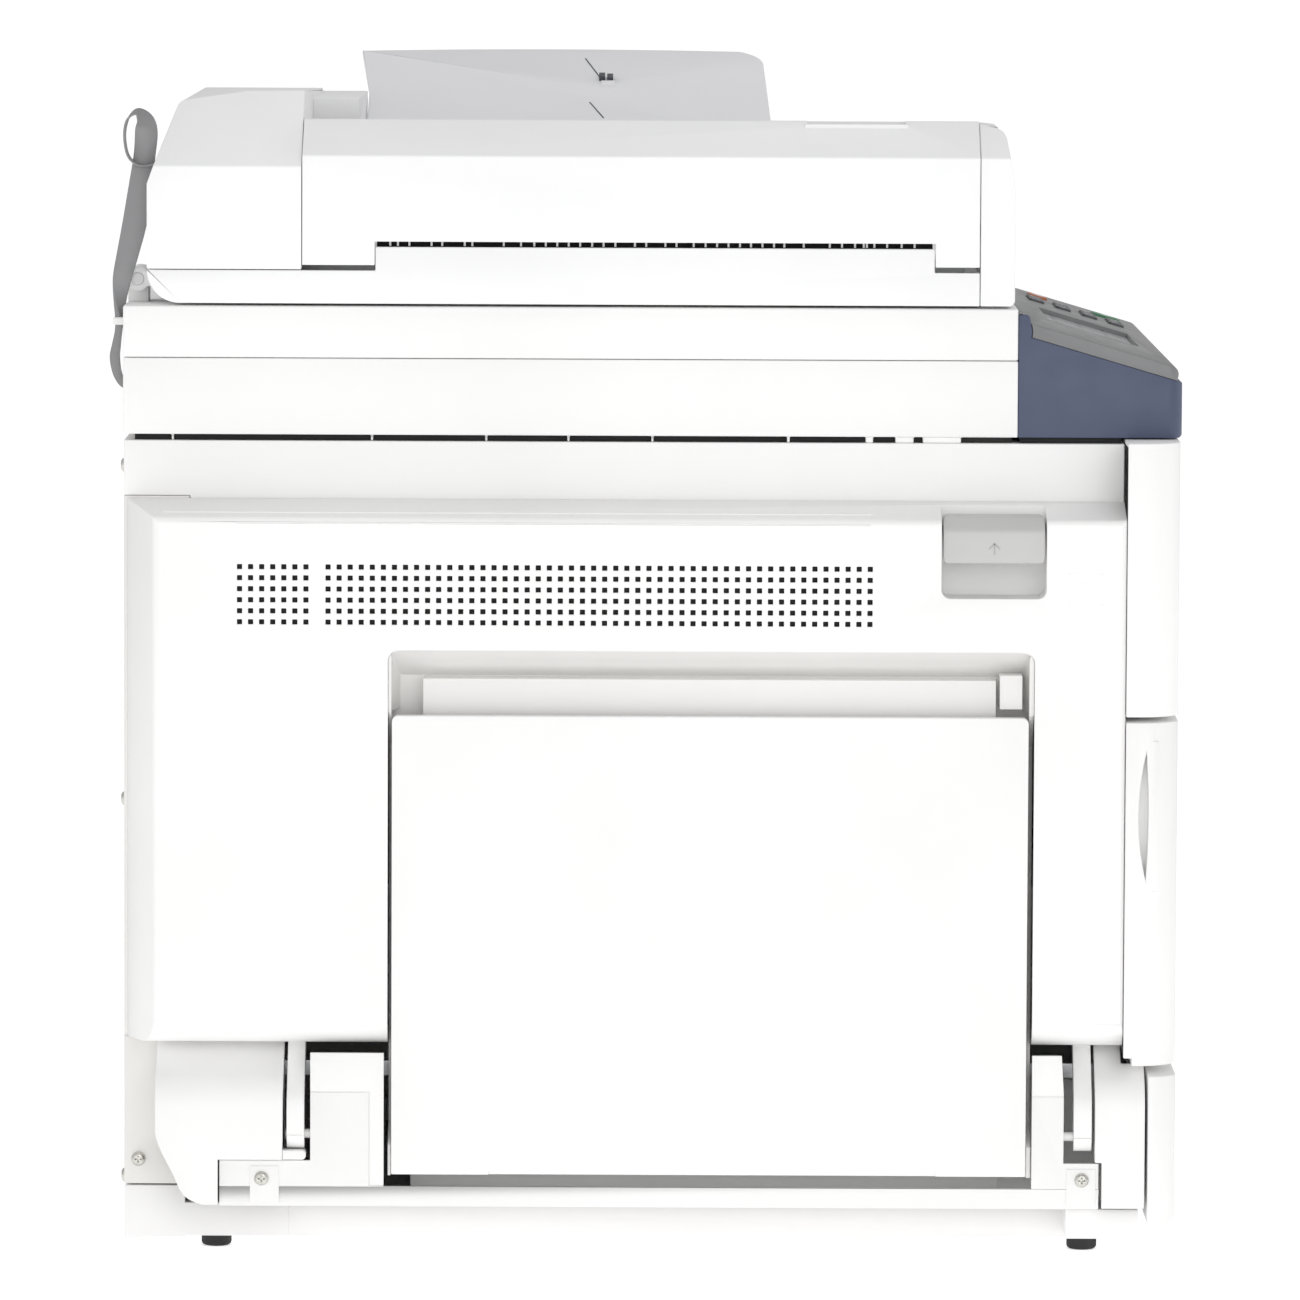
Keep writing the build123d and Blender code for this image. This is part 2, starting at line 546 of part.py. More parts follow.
def transfer_belt_unit():
    def loop(inset, half_width):
        low, high = BELT_TOP - 32 + inset, BELT_TOP - inset
        left, right = -150 + inset, 200 - inset
        return prism_y([(left, low), (right, low), (right, high), (left, high)],
                       -half_width, half_width, 15.5 - inset)
    carrier = prism_y(
        [(-140, BELT_TOP - 24), (190, BELT_TOP - 24), (190, BELT_TOP - 8), (-140, BELT_TOP - 8)],
        -292, 292, 7)
    platform = block(-60, 110, -284, 284, BELT_TOP - 30.5, BELT_TOP - 1.5)
    return (loop(0, 285) - loop(1.5, 286)) + carrier + platform


def fuser_unit():
    x, z = FUSER_ROLLER
    housing = block(x - 38, x + 38, -299.8, 297.8, z - 34, z + 34)
    housing -= block(x - 34, x + 34, -180, 180, z - 30, z + 36)
    housing -= block(x - 8, x + 8, -170, 170, z - 36, z - 28)
    return housing - rod_y(x, z, 6 + RUNNING, -200, 200)


def fuser_roller():
    x, z = FUSER_ROLLER
    roller = rod_y(x, z, 17, -172, 172)
    return roller + rod_y(x, z, 6, -195, 195)


def feed_roller():
    x, z = FEED_ROLLER
    shaft = rod_y(x, z, FEED_SHAFT_R, -304, 302)
    for y in (PAPER_CENTRE - 60, PAPER_CENTRE + 60):
        shaft += rod_y(x, z, 12, y - 16, y + 16)
    return shaft


# ---------------------------------------------------------------- scanner
def scanner_base():
    tub = block(LEFT_BODY, RIGHT_BODY, SCANNER_FRONT, 345.5, SCANNER_BOTTOM, SCANNER_SEAM - 0.4)
    tub -= block(
        LEFT_BODY + WALL, RIGHT_BODY - WALL, SCANNER_FRONT + WALL, 342.5,
        SCANNER_BOTTOM + WALL, SCANNER_SEAM + 1)
    for y in (-200, 150):
        tub += block(LEFT_BODY + 2, RIGHT_BODY - 2, y - 4, y + 4, SCANNER_BOTTOM + 2, 556)
    for y, width in GAP_RIBS:
        tub += block(
            LEFT_BODY + 1.5, EXIT_WALL_X - 10, y - width / 2, y + width / 2, BODY_TOP, SCANNER_BOTTOM + 1)
    for x in (-40, 80, 200, 270):
        tub += block(x - 2, x + 2, 306, 340, BODY_TOP, SCANNER_BOTTOM + 1)
    return tub


def scanner_top_cover():
    cover = block(LEFT_BODY, RIGHT_BODY, SCANNER_FRONT, 345.5, SCANNER_SEAM, SCANNER_TOP)
    cover -= block(
        LEFT_BODY + WALL, RIGHT_BODY - WALL, SCANNER_FRONT + WALL, 342.5, SCANNER_SEAM - 1, SCANNER_TOP - 6)
    for x0, x1, y0, y1 in (PLATEN, SLIT_GLASS):
        cover -= block(x0 - 0.3, x1 + 0.3, y0 - 0.3, y1 + 0.3, SCANNER_TOP - GLASS, SCANNER_TOP + 1)
        cover -= block(x0 + 5, x1 - 5, y0 + 5, y1 - 5, SCANNER_TOP - 8, SCANNER_TOP + 1)
    return cover


def platen_glasses():
    panes = []
    for x0, x1, y0, y1 in (PLATEN, SLIT_GLASS):
        panes.append(block(x0, x1, y0, y1, SCANNER_TOP - GLASS, SCANNER_TOP - 0.2))
    return panes


def scan_carriage():
    carriage = block(-244, -184, -208, 158, 556.3, 588)
    carriage -= block(-222, -206, -180, 130, 572, 590)
    return carriage


# ---------------------------------------------------------------- control panel
def on_panel(shape):
    """Places a shape made with x across, y up the slope and z out of the panel's face."""
    return Pos(0, PANEL_EDGE[0], PANEL_EDGE[1]) * Rot(PANEL_SLOPE, 0, 0) * shape


def panel_housing():
    drop = BEZEL / math.cos(math.radians(PANEL_SLOPE))
    slope = math.tan(math.radians(PANEL_SLOPE))

    def face_z(y, below):
        return PANEL_EDGE[1] + (y - PANEL_EDGE[0]) * slope - below

    def section(inset):
        front = PANEL_FRONT + inset
        rear = SCANNER_FRONT - 0.3 - inset
        below = drop + 0.2 + inset
        return [(rear, SCANNER_BOTTOM + inset), (front, SCANNER_BOTTOM + inset),
                (front, face_z(front, below)), (rear, face_z(rear, below))]
    outer = prism_x(section(0), LEFT_BODY, RIGHT_BODY, [0, 3, 1.5, 0]) & panel_plan(0)
    outer += panel_ear(0, 0)
    inner = prism_x(section(WALL), LEFT_BODY + WALL, RIGHT_BODY - WALL) & panel_plan(WALL)
    return outer - inner - on_panel(block(-110, 260, 12, 96, -BEZEL - 6, -BEZEL + 1))


def panel_plan(inset):
    """The panel seen from above, with its front corners rounded."""
    left, right, front = LEFT_BODY + inset, RIGHT_BODY - inset, PANEL_FRONT + inset
    return prism_z(
        [(left, -230), (left, front), (right, front), (right, -230)],
        500, 700, [0, 10 - inset, 10 - inset, 0])


def panel_ear(gap, reach):
    """The raised rear corners of the housing, grown by gap and carried past the ends by reach."""
    section = [(-240.3 + reach, 600 - reach), (-247.6 - gap, 600 - reach), (-249.2 - gap, 611),
               (-247.2 - gap, 622 + gap), (-240.3 + reach, 622 + gap)]
    left = prism_x(section, LEFT_BODY - reach, LEFT_BODY + 2.5 + gap, [0, 0, 2, 3, 0])
    right = prism_x(section, RIGHT_BODY - 2.5 - gap, RIGHT_BODY + reach, [0, 0, 2, 3, 0])
    return left + right


def panel_bezel():
    slab = prism_x([(0, -BEZEL), (0, 0), (104.5, 0), (104.5, -BEZEL)], LEFT_BODY, RIGHT_BODY, [0, 6, 0, 0])
    slab -= block(LCD[0], LCD[1], LCD[2], LCD[3], -5, 1)
    slab -= block(LCD[0] + 6, LCD[1] - 6, LCD[2] + 6, LCD[3] - 6, -BEZEL - 1, 1)
    for cx, cy, w, h in key_places().values():
        slab -= block(cx - w / 2 - 0.4, cx + w / 2 + 0.4, cy - h / 2 - 0.4, cy + h / 2 + 0.4, -BEZEL - 1, 1)
    bezel = on_panel(slab)
    shoulder = prism_x(
        [(-250.5, 612.5), (-240.3, 612.5), (-240.3, 624.3), (-241.5, 624.3)], LEFT_BODY, RIGHT_BODY)
    trimmed = block(-300, 300, -240.3, -200, 500, 700)
    return ((bezel + shoulder) & panel_plan(0)) - trimmed - panel_ear(0.4, 2)


def lcd_screen():
    return on_panel(block(LCD[0] + 0.2, LCD[1] - 0.2, LCD[2] + 0.2, LCD[3] - 0.2, -5, -2.5))


def key_places():
    """Each key's centre across the panel, centre up the slope, width and height."""
    places = {}
    names = ("key_star", "key_0", "key_hash", "key_7", "key_8", "key_9",
             "key_4", "key_5", "key_6", "key_1", "key_2", "key_3")
    for index, name in enumerate(names):
        row, column = divmod(index, 3)
        places[name] = (KEY_LEFT + 21.0 * column, KEY_FIRST + KEY_PITCH * row, 15.0, 11.0)
    places["key_start"] = (KEY_LEFT + 82.0, KEY_FIRST + 4.0, 24.0, 20.0)
    places["key_stop"] = (KEY_LEFT + 82.0, KEY_FIRST + 3 * KEY_PITCH - 4.0, 20.0, 14.0)
    return places


def panel_key(place):
    cx, cy, w, h = place
    cap = block(cx - w / 2, cx + w / 2, cy - h / 2, cy + h / 2, -BEZEL + 1.0, 1.6)
    cap = fillet(cap.edges().filter_by(Axis.Z), 2.5)
    cap = fillet(cap.edges().group_by(Axis.Z)[-1], 0.6)
    return on_panel(cap)


# ---------------------------------------------------------------- document feeder
def dadf_hinge_bases():
    bases = []
    for x in HINGE_X:
        post = block(x - 12, x + 12, 331.5, 345, SCANNER_TOP, HINGE_Z)
        post += rod_x(HINGE_Y, HINGE_Z, 6.5, x - 12, x + 12)
        post += rod_x(HINGE_Y, HINGE_Z, LID_PIN_R, x - 23, x + 23)
        bases.append(post)
    return bases


def feeder_base():
    slab = prism_x(
        [(-214.5, FEEDER_BOTTOM), (FEEDER_REAR, FEEDER_BOTTOM), (FEEDER_REAR, 649), (-214.5, 649)],
        LEFT_BODY, FEEDER_RIGHT, [0, 21.5, 0, 0])
    slab -= block(LEFT_BODY + WALL, -50, -211.5, FEEDER_REAR - 18, FEEDER_BOTTOM + 6, 700)
    slab -= block(-44, FEEDER_RIGHT - WALL, -211.5, FEEDER_REAR - 18, FEEDER_BOTTOM + 6, 646)
    left_rim = block(LEFT_BODY, LEFT_BODY + WALL, -185, 180.5, 648, 664.5)
    slab += left_rim
    slab -= block(PLATEN[0] - 1, PLATEN[1] + 1, PLATEN[2] - 1, PLATEN[3] + 1, FEEDER_BOTTOM - 1, 631)
    right_front = block(-40, FEEDER_RIGHT, FEEDER_FRONT, -214, FEEDER_BOTTOM, 649)
    slab += fillet(right_front.edges().filter_by(Axis.X).group_by(Axis.Y)[0], 6)
    for x in HINGE_X:
        for side in (-1, 1):
            x0, x1 = sorted((x + side * 12.5, x + side * 22.5))
            knuckle = rod_x(HINGE_Y, HINGE_Z, 8, x0, x1)
            knuckle += block(x0, x1, FEEDER_REAR - 9, HINGE_Y, HINGE_Z - 5, HINGE_Z + 5)
            slab += knuckle - rod_x(HINGE_Y, HINGE_Z, LID_PIN_R + RUNNING, x0 - 1, x1 + 1)
    for y in (GUIDE_CENTRE - 52, GUIDE_CENTRE + 48):
        cheek = block(-106, -72, y, y + 4, FEEDER_BOTTOM + 5, 704)
        slab += cheek - rod_y(*PICKUP, 3 + RUNNING, y - 1, y + 5)
    return slab


def platen_pad():
    x0, x1, y0, y1 = PLATEN
    return block(x0, x1, y0, y1, SCANNER_TOP + 0.3, 631)


def feeder_profile(top, inset, right):
    """Section of the feeder's covers across X: an upright side, a sloping shoulder, then a slow fall."""
    left = LEFT_BODY + inset
    crease = FEEDER_CREASE - 0.4 * (top - FEEDER_TOP)
    crest = LEFT_BODY + 36 + 1.4 * (top - FEEDER_TOP)
    return [(left, 600), (left, crease - 0.6 * inset), (crest, top - inset),
            (right, top - 8 - inset), (right, 600)]


def rear_cover_section(inset):
    """Outline of the feeder's rear cover seen from the side, cut back by inset."""
    back = FEEDER_REAR - inset
    return [(190, 649.6), (back, 649.6), (back, 705),
            (311 - inset, 758 - inset), (262, FEEDER_REAR_TOP - inset),
            (190, FEEDER_REAR_TOP - inset)]


def feeder_rear_cover():
    outer = prism_y(feeder_profile(FEEDER_REAR_TOP, 0, 150), 229, FEEDER_REAR, [0, 2, 6, 8, 0])
    inner = prism_y(feeder_profile(FEEDER_REAR_TOP, WALL, 147), 229 + WALL, FEEDER_REAR, [0, 1, 4, 5, 0])
    section = prism_x(rear_cover_section(0), -260, 160, [0, 1, 4, 7, 60, 0])
    ledge = block(-40, 150, 198, 230, 649.6, 755)
    ledge -= block(-37, 147, 201, 233, 640, 752)
    cavity = inner & prism_x(rear_cover_section(WALL), -260, 160, [0, 1, 3, 5, 50, 0])
    shell = (outer + ledge) & section
    pin = rod_y(*FEEDER_COVER_PIVOT, SMALL_PIN_R, 225.8, 230)
    return shell - cavity - block(-37, 147, 201, 235, 640, 752) + pin


def feeder_front_cover():
    outer = prism_y(feeder_profile(FEEDER_TOP, 0, -40.5), FEEDER_FRONT, -215, [0, 2, 6, 6, 0])
    inner = prism_y(feeder_profile(FEEDER_TOP, WALL, -43.5), FEEDER_FRONT + WALL, -214, [0, 1, 4, 4, 0])
    section = prism_x(
        [(-210, FEEDER_BOTTOM), (FEEDER_FRONT, FEEDER_BOTTOM), (FEEDER_FRONT, 705), (FEEDER_FRONT + 6, 741),
         (-210, FEEDER_TOP)], -260, 0, [0, 4, 40, 8, 0])
    boss = block(LEFT_BODY + 1, -237, -219, -215, FEEDER_COVER_PIVOT[1] - 9, FEEDER_COVER_PIVOT[1] + 9)
    pin = rod_y(*FEEDER_COVER_PIVOT, SMALL_PIN_R, -216, -211.8)
    return ((outer - inner) & section) + boss + pin


def feeder_cover():
    y0, y1 = -214.4, 228.4
    outer = prism_y(feeder_profile(FEEDER_TOP, 0, FEEDER_COVER_RIGHT), y0, y1, [0, 2, 6, 10, 0])
    inner = prism_y(
        feeder_profile(FEEDER_TOP, WALL, FEEDER_COVER_RIGHT + 8), y0 + WALL, y1 - WALL, [0, 1, 4, 7, 0])
    shell = outer - inner
    shell -= block(-260, 0, y0 - 1, y1 + 1, 590, FEEDER_SEAM)
    shell -= block(-260, LEFT_BODY + 8, -185.5, 181, 590, 668)
    shell -= block(LEFT_BODY + 8, 0, y0 - 1, y1 + 1, 590, 672)
    shell += block(-224, -198, -168, -100, 733, 745)
    shell -= rod_y(*FEEDER_COVER_PIVOT, SMALL_PIN_R + RUNNING, y0 - 1, y1 + 1)
    return shell - block(-222, -200, -166, -102, 735.5, 760)


def pickup_roller():
    shaft = rod_y(*PICKUP, 3, GUIDE_CENTRE - 55, GUIDE_CENTRE + 55)
    return shaft + rod_y(*PICKUP, 13, GUIDE_CENTRE - 28, GUIDE_CENTRE + 28)


def on_tray(shape):
    """Places a shape made flat: x runs up the document tray from its hinge, z is its normal."""
    return Pos(TRAY_ORIGIN[0], 0, TRAY_ORIGIN[1]) * Rot(0, -TRAY_SLOPE, 0) * shape


def document_tray():
    plan = prism_z(
        [(6, -196), (78, -196), (96, -84), (TRAY_LENGTH, -77), (TRAY_LENGTH, 205), (220, 197), (6, 196)],
        -4, 0, [4, 30, 40, 32, 5, 40, 4])
    plan &= rod_z(TRAY_LENGTH - FAR_EDGE_R, 63, FAR_EDGE_R, -5, 1)
    rib = block(8, TRAY_LENGTH - 20, 186, 190, -12, -3)
    rib += block(8, TRAY_LENGTH - 40, -74, -70, -12, -3)
    barrel = rod_y(0, 0, 4, -60, 80) + block(0, 8, -60, 80, -4, 0)
    catch = block(232, 240, 26, 36, 0, 2.5)
    return on_tray(plan + rib + barrel + catch)


def document_guide(side):
    """A document width guide: side is -1 at the front and 1 at the rear."""
    y = GUIDE_CENTRE + side * GUIDE_HALF
    near, far = sorted((y, y + side * 3))
    wall = prism_y([(10, 0.3), (70, 0.3), (70, 22), (40, 30), (10, 30)], near, far, [0, 0, 5, 6, 3])
    foot_near, foot_far = sorted((y, y - side * 26))
    return on_tray(wall + block(12, 66, foot_near, foot_far, 0.3, 2.8))


def dadf_cable():
    """The flat lead from the feeder to the scanner, along the machine's rear."""
    band = prism_x(
        [(330, 733), (338, 750), (352, 744), (347, 722), (341, 700), (356, 652), (354, 622), (357, 592),
         (345.5, 572), (345.5, 582), (350, 594), (348, 622), (350, 650), (335, 700), (340, 724), (342, 738),
         (334, 728)],
        CABLE_X - 14, CABLE_X + 14, 1.5)
    return band


# ---------------------------------------------------------------- fasteners
def screw_head(direction):
    """A pan head with a slot, its seat on the origin, facing +Z before it is turned."""
    head = Pos(0, 0, 1.4) * Cylinder(4.6, 2.8)
    head = fillet(head.edges().group_by(Axis.Z)[-1], 1.0)
    slot = Pos(0, 0, 2.6) * (Box(5.2, 1.1, 2) + Box(1.1, 5.2, 2))
    turn = {"left": Rot(0, -90, 0), "right": Rot(0, 90, 0), "rear": Rot(-90, 0, 0)}
    return turn[direction] * (head - slot)


def case_screws():
    screws = [
        Pos(-293.5, 252.8, 56.4) * screw_head("left"),
        Pos(-293.5, -284.0, 57.3) * screw_head("left"),
        Pos(LEFT_BODY, 335.6, 63) * screw_head("left"),
    ]
    for x in (-236, 20, 275):
        for z in (50, 300, 520):
            screws.append(Pos(x, REAR, z) * screw_head("rear"))
    for y in (-290, 285):
        screws.append(Pos(RIGHT_BODY, y, 46) * screw_head("right"))
    return screws


# ---------------------------------------------------------------- files
def write(name, shape):
    solids = shape if isinstance(shape, list) else [shape]
    parts = [solid for item in solids for solid in item.solids()]
    export_step(Compound(parts) if len(parts) > 1 else parts[0], f"parts/{name}.step")


def main():
    os.makedirs("parts", exist_ok=True)
    makers = (
        base_frame, rubber_feet, inner_frame, rear_cover, right_cover, power_inlet, power_switch,
        top_left_cover, exit_tray, front_upper_panel, front_door, lower_rear_cover, lower_front_cover,
        hinge_bracket, cover_a_shell, cover_a_liner, bypass_tray, cover_latch, paper_drawer,
        drawer_lift_plate, imaging_cartridges, transfer_belt_unit, fuser_unit,
        fuser_roller, feed_roller, scanner_base, scanner_top_cover, platen_glasses, scan_carriage,
        panel_housing, panel_bezel, lcd_screen, dadf_hinge_bases, feeder_base, platen_pad,
        feeder_rear_cover, feeder_front_cover, feeder_cover, pickup_roller, document_tray,
        dadf_cable, case_screws,
    )
    for maker in makers:
        write(maker.__name__, maker())
    for name, side in (("front", -1), ("rear", 1)):
        write(f"drawer_guide_{name}", drawer_guide(side))
        write(f"document_guide_{name}", document_guide(side))
    for name, place in key_places().items():
        write(name, panel_key(place))


main()
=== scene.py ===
import bpy
import bmesh
import json
import math
from mathutils import Matrix, Vector

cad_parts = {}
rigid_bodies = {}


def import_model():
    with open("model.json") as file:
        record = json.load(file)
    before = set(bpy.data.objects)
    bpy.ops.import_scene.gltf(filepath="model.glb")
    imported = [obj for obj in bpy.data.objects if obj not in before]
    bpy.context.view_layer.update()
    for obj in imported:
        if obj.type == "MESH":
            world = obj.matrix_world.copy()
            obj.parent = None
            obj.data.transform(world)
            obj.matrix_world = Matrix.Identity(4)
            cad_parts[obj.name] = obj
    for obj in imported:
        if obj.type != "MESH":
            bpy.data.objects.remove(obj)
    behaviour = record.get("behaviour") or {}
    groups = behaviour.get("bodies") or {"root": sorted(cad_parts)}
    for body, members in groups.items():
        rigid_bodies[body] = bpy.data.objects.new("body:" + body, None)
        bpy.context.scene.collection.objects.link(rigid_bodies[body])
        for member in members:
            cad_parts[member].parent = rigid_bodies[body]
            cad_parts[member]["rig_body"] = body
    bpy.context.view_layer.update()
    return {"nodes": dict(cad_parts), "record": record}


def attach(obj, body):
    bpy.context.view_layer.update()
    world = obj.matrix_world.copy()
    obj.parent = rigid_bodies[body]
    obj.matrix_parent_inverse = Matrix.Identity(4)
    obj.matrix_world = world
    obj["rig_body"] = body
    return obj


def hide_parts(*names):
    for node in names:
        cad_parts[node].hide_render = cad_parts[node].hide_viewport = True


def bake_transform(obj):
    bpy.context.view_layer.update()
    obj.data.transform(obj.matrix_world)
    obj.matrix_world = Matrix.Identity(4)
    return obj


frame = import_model()
MM = 0.001
NODES = frame["nodes"]

# ------------------------------------------------------------------ driving sizes (m)
LEFT = -0.2955
PANEL_SLOPE = math.radians(16.4)
PANEL_NORMAL = Vector((0, -math.sin(PANEL_SLOPE), math.cos(PANEL_SLOPE)))
TRAY_SLOPE = math.radians(17.0)
TRAY_ORIGIN = Vector((-0.056, 0, 0.690))
EDGE = 0.0006            # rounding of a moulding's sharp edges
SHARP_ANGLE = 32.0       # degrees; an edge that turns by more is rounded
SMOOTH_ANGLE = 35.0      # degrees; an edge that turns by more is shaded sharp
LEGEND_SIZE = 0.0085     # height of the type on the number keys
SYMBOL_R = 0.0045        # radius of the symbols on start and stop
CAMERA_DISTANCE = 6.0
CAMERA_HEIGHT = 0.936
CAMERA_PITCH = math.radians(5.06)
CAMERA_ROLL = math.radians(0.25)
LENS = 256.2
SENSOR = 36.0


# ------------------------------------------------------------------ node helpers
class Graph:
    """A material's node tree, with short calls to add and link nodes."""

    def __init__(self, name):
        self.material = bpy.data.materials.new(name)
        self.material.use_nodes = True
        self.tree = self.material.node_tree
        self.tree.nodes.clear()
        self.output = self.add("ShaderNodeOutputMaterial")
        self.place = self.add("ShaderNodeTexCoord").outputs["Object"]

    def add(self, kind, **inputs):
        node = self.tree.nodes.new(kind)
        for key, value in inputs.items():
            self.set(node, key.replace("_", " "), value)
        return node

    def set(self, node, key, value):
        socket = node.inputs[key]
        if isinstance(value, bpy.types.NodeSocket):
            self.tree.links.new(value, socket)
        else:
            socket.default_value = value

    def link(self, a, b):
        self.tree.links.new(a, b)

    def noise(self, scale, detail=2.0, roughness=0.5, stretch=None):
        vector = self.place
        if stretch:
            mapping = self.add("ShaderNodeMapping", Vector=vector, Scale=stretch)
            vector = mapping.outputs["Vector"]
        node = self.add("ShaderNodeTexNoise", Vector=vector, Scale=scale, Detail=detail, Roughness=roughness)
        return node.outputs["Fac"]

    def spread(self, value, low, high, start=0.3, end=0.7):
        node = self.add("ShaderNodeMapRange")
        self.set(node, "Value", value)
        self.set(node, "From Min", start)
        self.set(node, "From Max", end)
        self.set(node, "To Min", low)
        self.set(node, "To Max", high)
        return node.outputs["Result"]

    def mix(self, factor, a, b):
        node = self.tree.nodes.new("ShaderNodeMix")
        node.data_type = "RGBA"
        for socket, value in ((node.inputs[0], factor), (node.inputs[6], a), (node.inputs[7], b)):
            if isinstance(value, bpy.types.NodeSocket):
                self.link(value, socket)
            else:
                socket.default_value = value
        return node.outputs[2]

    def bump(self, height, distance, strength=1.0, normal=None):
        node = self.add("ShaderNodeBump", Height=height, Distance=distance, Strength=strength)
        if normal is not None:
            self.link(normal, node.inputs["Normal"])
        return node.outputs["Normal"]

    def principled(self, **inputs):
        shader = self.add("ShaderNodeBsdfPrincipled", **inputs)
        self.link(shader.outputs["BSDF"], self.output.inputs["Surface"])
        return shader


def rgba(red, green, blue):
    return (red, green, blue, 1.0)


def shade(colour, factor):
    return rgba(*(min(1.0, channel * factor) for channel in colour))


# ------------------------------------------------------------------ materials
def moulded_plastic(name, colour, roughness=0.5, grain=0.00055, depth=0.000035, variation=0.02):
    """Injection-moulded plastic with a fine spark-eroded surface and slight unevenness."""
    g = Graph(name)
    broad = g.noise(7.0, 3.0)
    tint = g.mix(g.spread(broad, 0.0, 1.0), shade(colour, 1 - variation), shade(colour, 1 + variation))
    spark = g.noise(1.0 / grain, 3.0, 0.6)
    flow = g.noise(34.0, 2.0)
    normal = g.bump(flow, 0.0002, 0.25)
    normal = g.bump(spark, depth, 0.8, normal)
    g.principled(
        Base_Color=tint, Roughness=g.spread(g.noise(60.0, 3.0), roughness - 0.05, roughness + 0.06),
        Normal=normal, IOR=1.49)
    return g.material


def smooth_plastic(name, colour, roughness=0.3, coat=0.0):
    """Satin or gloss plastic, with faint polishing haze."""
    g = Graph(name)
    tint = g.mix(g.noise(12.0, 2.0), shade(colour, 0.96), shade(colour, 1.04))
    haze = g.spread(g.noise(140.0, 4.0, 0.65), roughness - 0.05, roughness + 0.07)
    normal = g.bump(g.noise(420.0, 2.0), 0.00002, 0.5)
    g.principled(Base_Color=tint, Roughness=haze, Normal=normal, IOR=1.5, Coat_Weight=coat)
    return g.material


def painted_metal(name, colour, roughness=0.42):
    """Powder-coated sheet with a slight orange peel."""
    g = Graph(name)
    tint = g.mix(g.noise(9.0, 2.0), shade(colour, 0.97), shade(colour, 1.02))
    peel = g.bump(g.noise(750.0, 2.0), 0.00004, 0.6)
    g.principled(
        Base_Color=tint, Roughness=g.spread(g.noise(80.0, 3.0), roughness - 0.04, roughness + 0.06),
        Normal=peel)
    return g.material


def zinc_steel(name, colour, stretch=(8.0, 8.0, 300.0), roughness=0.34):
    """Zinc-plated sheet: rolling lines, and cloudy crystal patches."""
    g = Graph(name)
    lines = g.noise(6.0, 3.0, 0.6, stretch)
    clouds = g.add("ShaderNodeTexVoronoi", Vector=g.place, Scale=170.0).outputs["Distance"]
    tint = g.mix(clouds, shade(colour, 0.9), shade(colour, 1.06))
    g.principled(
        Base_Color=tint, Metallic=1.0, Roughness=g.spread(lines, roughness - 0.08, roughness + 0.1),
        Normal=g.bump(lines, 0.00003, 0.5))
    return g.material


def rubber(name, colour, roughness=0.75):
    g = Graph(name)
    tint = g.mix(g.noise(30.0, 3.0), shade(colour, 0.8), shade(colour, 1.35))
    normal = g.bump(g.noise(1300.0, 2.0), 0.00006, 0.7)
    g.principled(
        Base_Color=tint, Roughness=g.spread(g.noise(90.0, 2.0), roughness - 0.08, roughness + 0.1),
        Normal=normal, IOR=1.45)
    return g.material


def clear_glass(name):
    """Platen glass with a faint green tint and wiping marks."""
    g = Graph(name)
    marks = g.spread(g.noise(5.0, 4.0, 0.6, (1.0, 9.0, 1.0)), 0.02, 0.09)
    g.principled(
        Base_Color=rgba(0.86, 0.93, 0.91), Roughness=marks, Transmission_Weight=0.85, IOR=1.5, Alpha=0.6)
    return g.material


def foam_sheet(name, colour):
    g = Graph(name)
    cells = g.add("ShaderNodeTexVoronoi", Vector=g.place, Scale=900.0).outputs["Distance"]
    tint = g.mix(cells, shade(colour, 0.94), shade(colour, 1.03))
    g.principled(Base_Color=tint, Roughness=0.85, Normal=g.bump(cells, 0.00015, 0.6))
    return g.material


def touch_screen(name):
    """A dark, dimly lit screen with a plain grid of blank tiles."""
    g = Graph(name)
    turned = g.add("ShaderNodeMapping", Vector=g.place, Rotation=(PANEL_SLOPE, 0.0, 0.0))
    brick = g.add("ShaderNodeTexBrick", Vector=turned.outputs["Vector"], Scale=1.0)
    brick.offset = 0.0
    brick.squash = 1.0
    g.set(brick, "Brick Width", 0.026)
    g.set(brick, "Row Height", 0.0155)
    g.set(brick, "Mortar Size", 0.0016)
    g.set(brick, "Mortar Smooth", 0.25)
    g.set(brick, "Color1", rgba(0.11, 0.12, 0.125))
    g.set(brick, "Color2", rgba(0.085, 0.095, 0.10))
    g.set(brick, "Mortar", rgba(0.03, 0.033, 0.036))
    g.principled(
        Base_Color=brick.outputs["Color"], Roughness=g.spread(g.noise(30.0, 3.0), 0.16, 0.28),
        Emission_Color=brick.outputs["Color"], Emission_Strength=0.15, IOR=1.5)
    return g.material


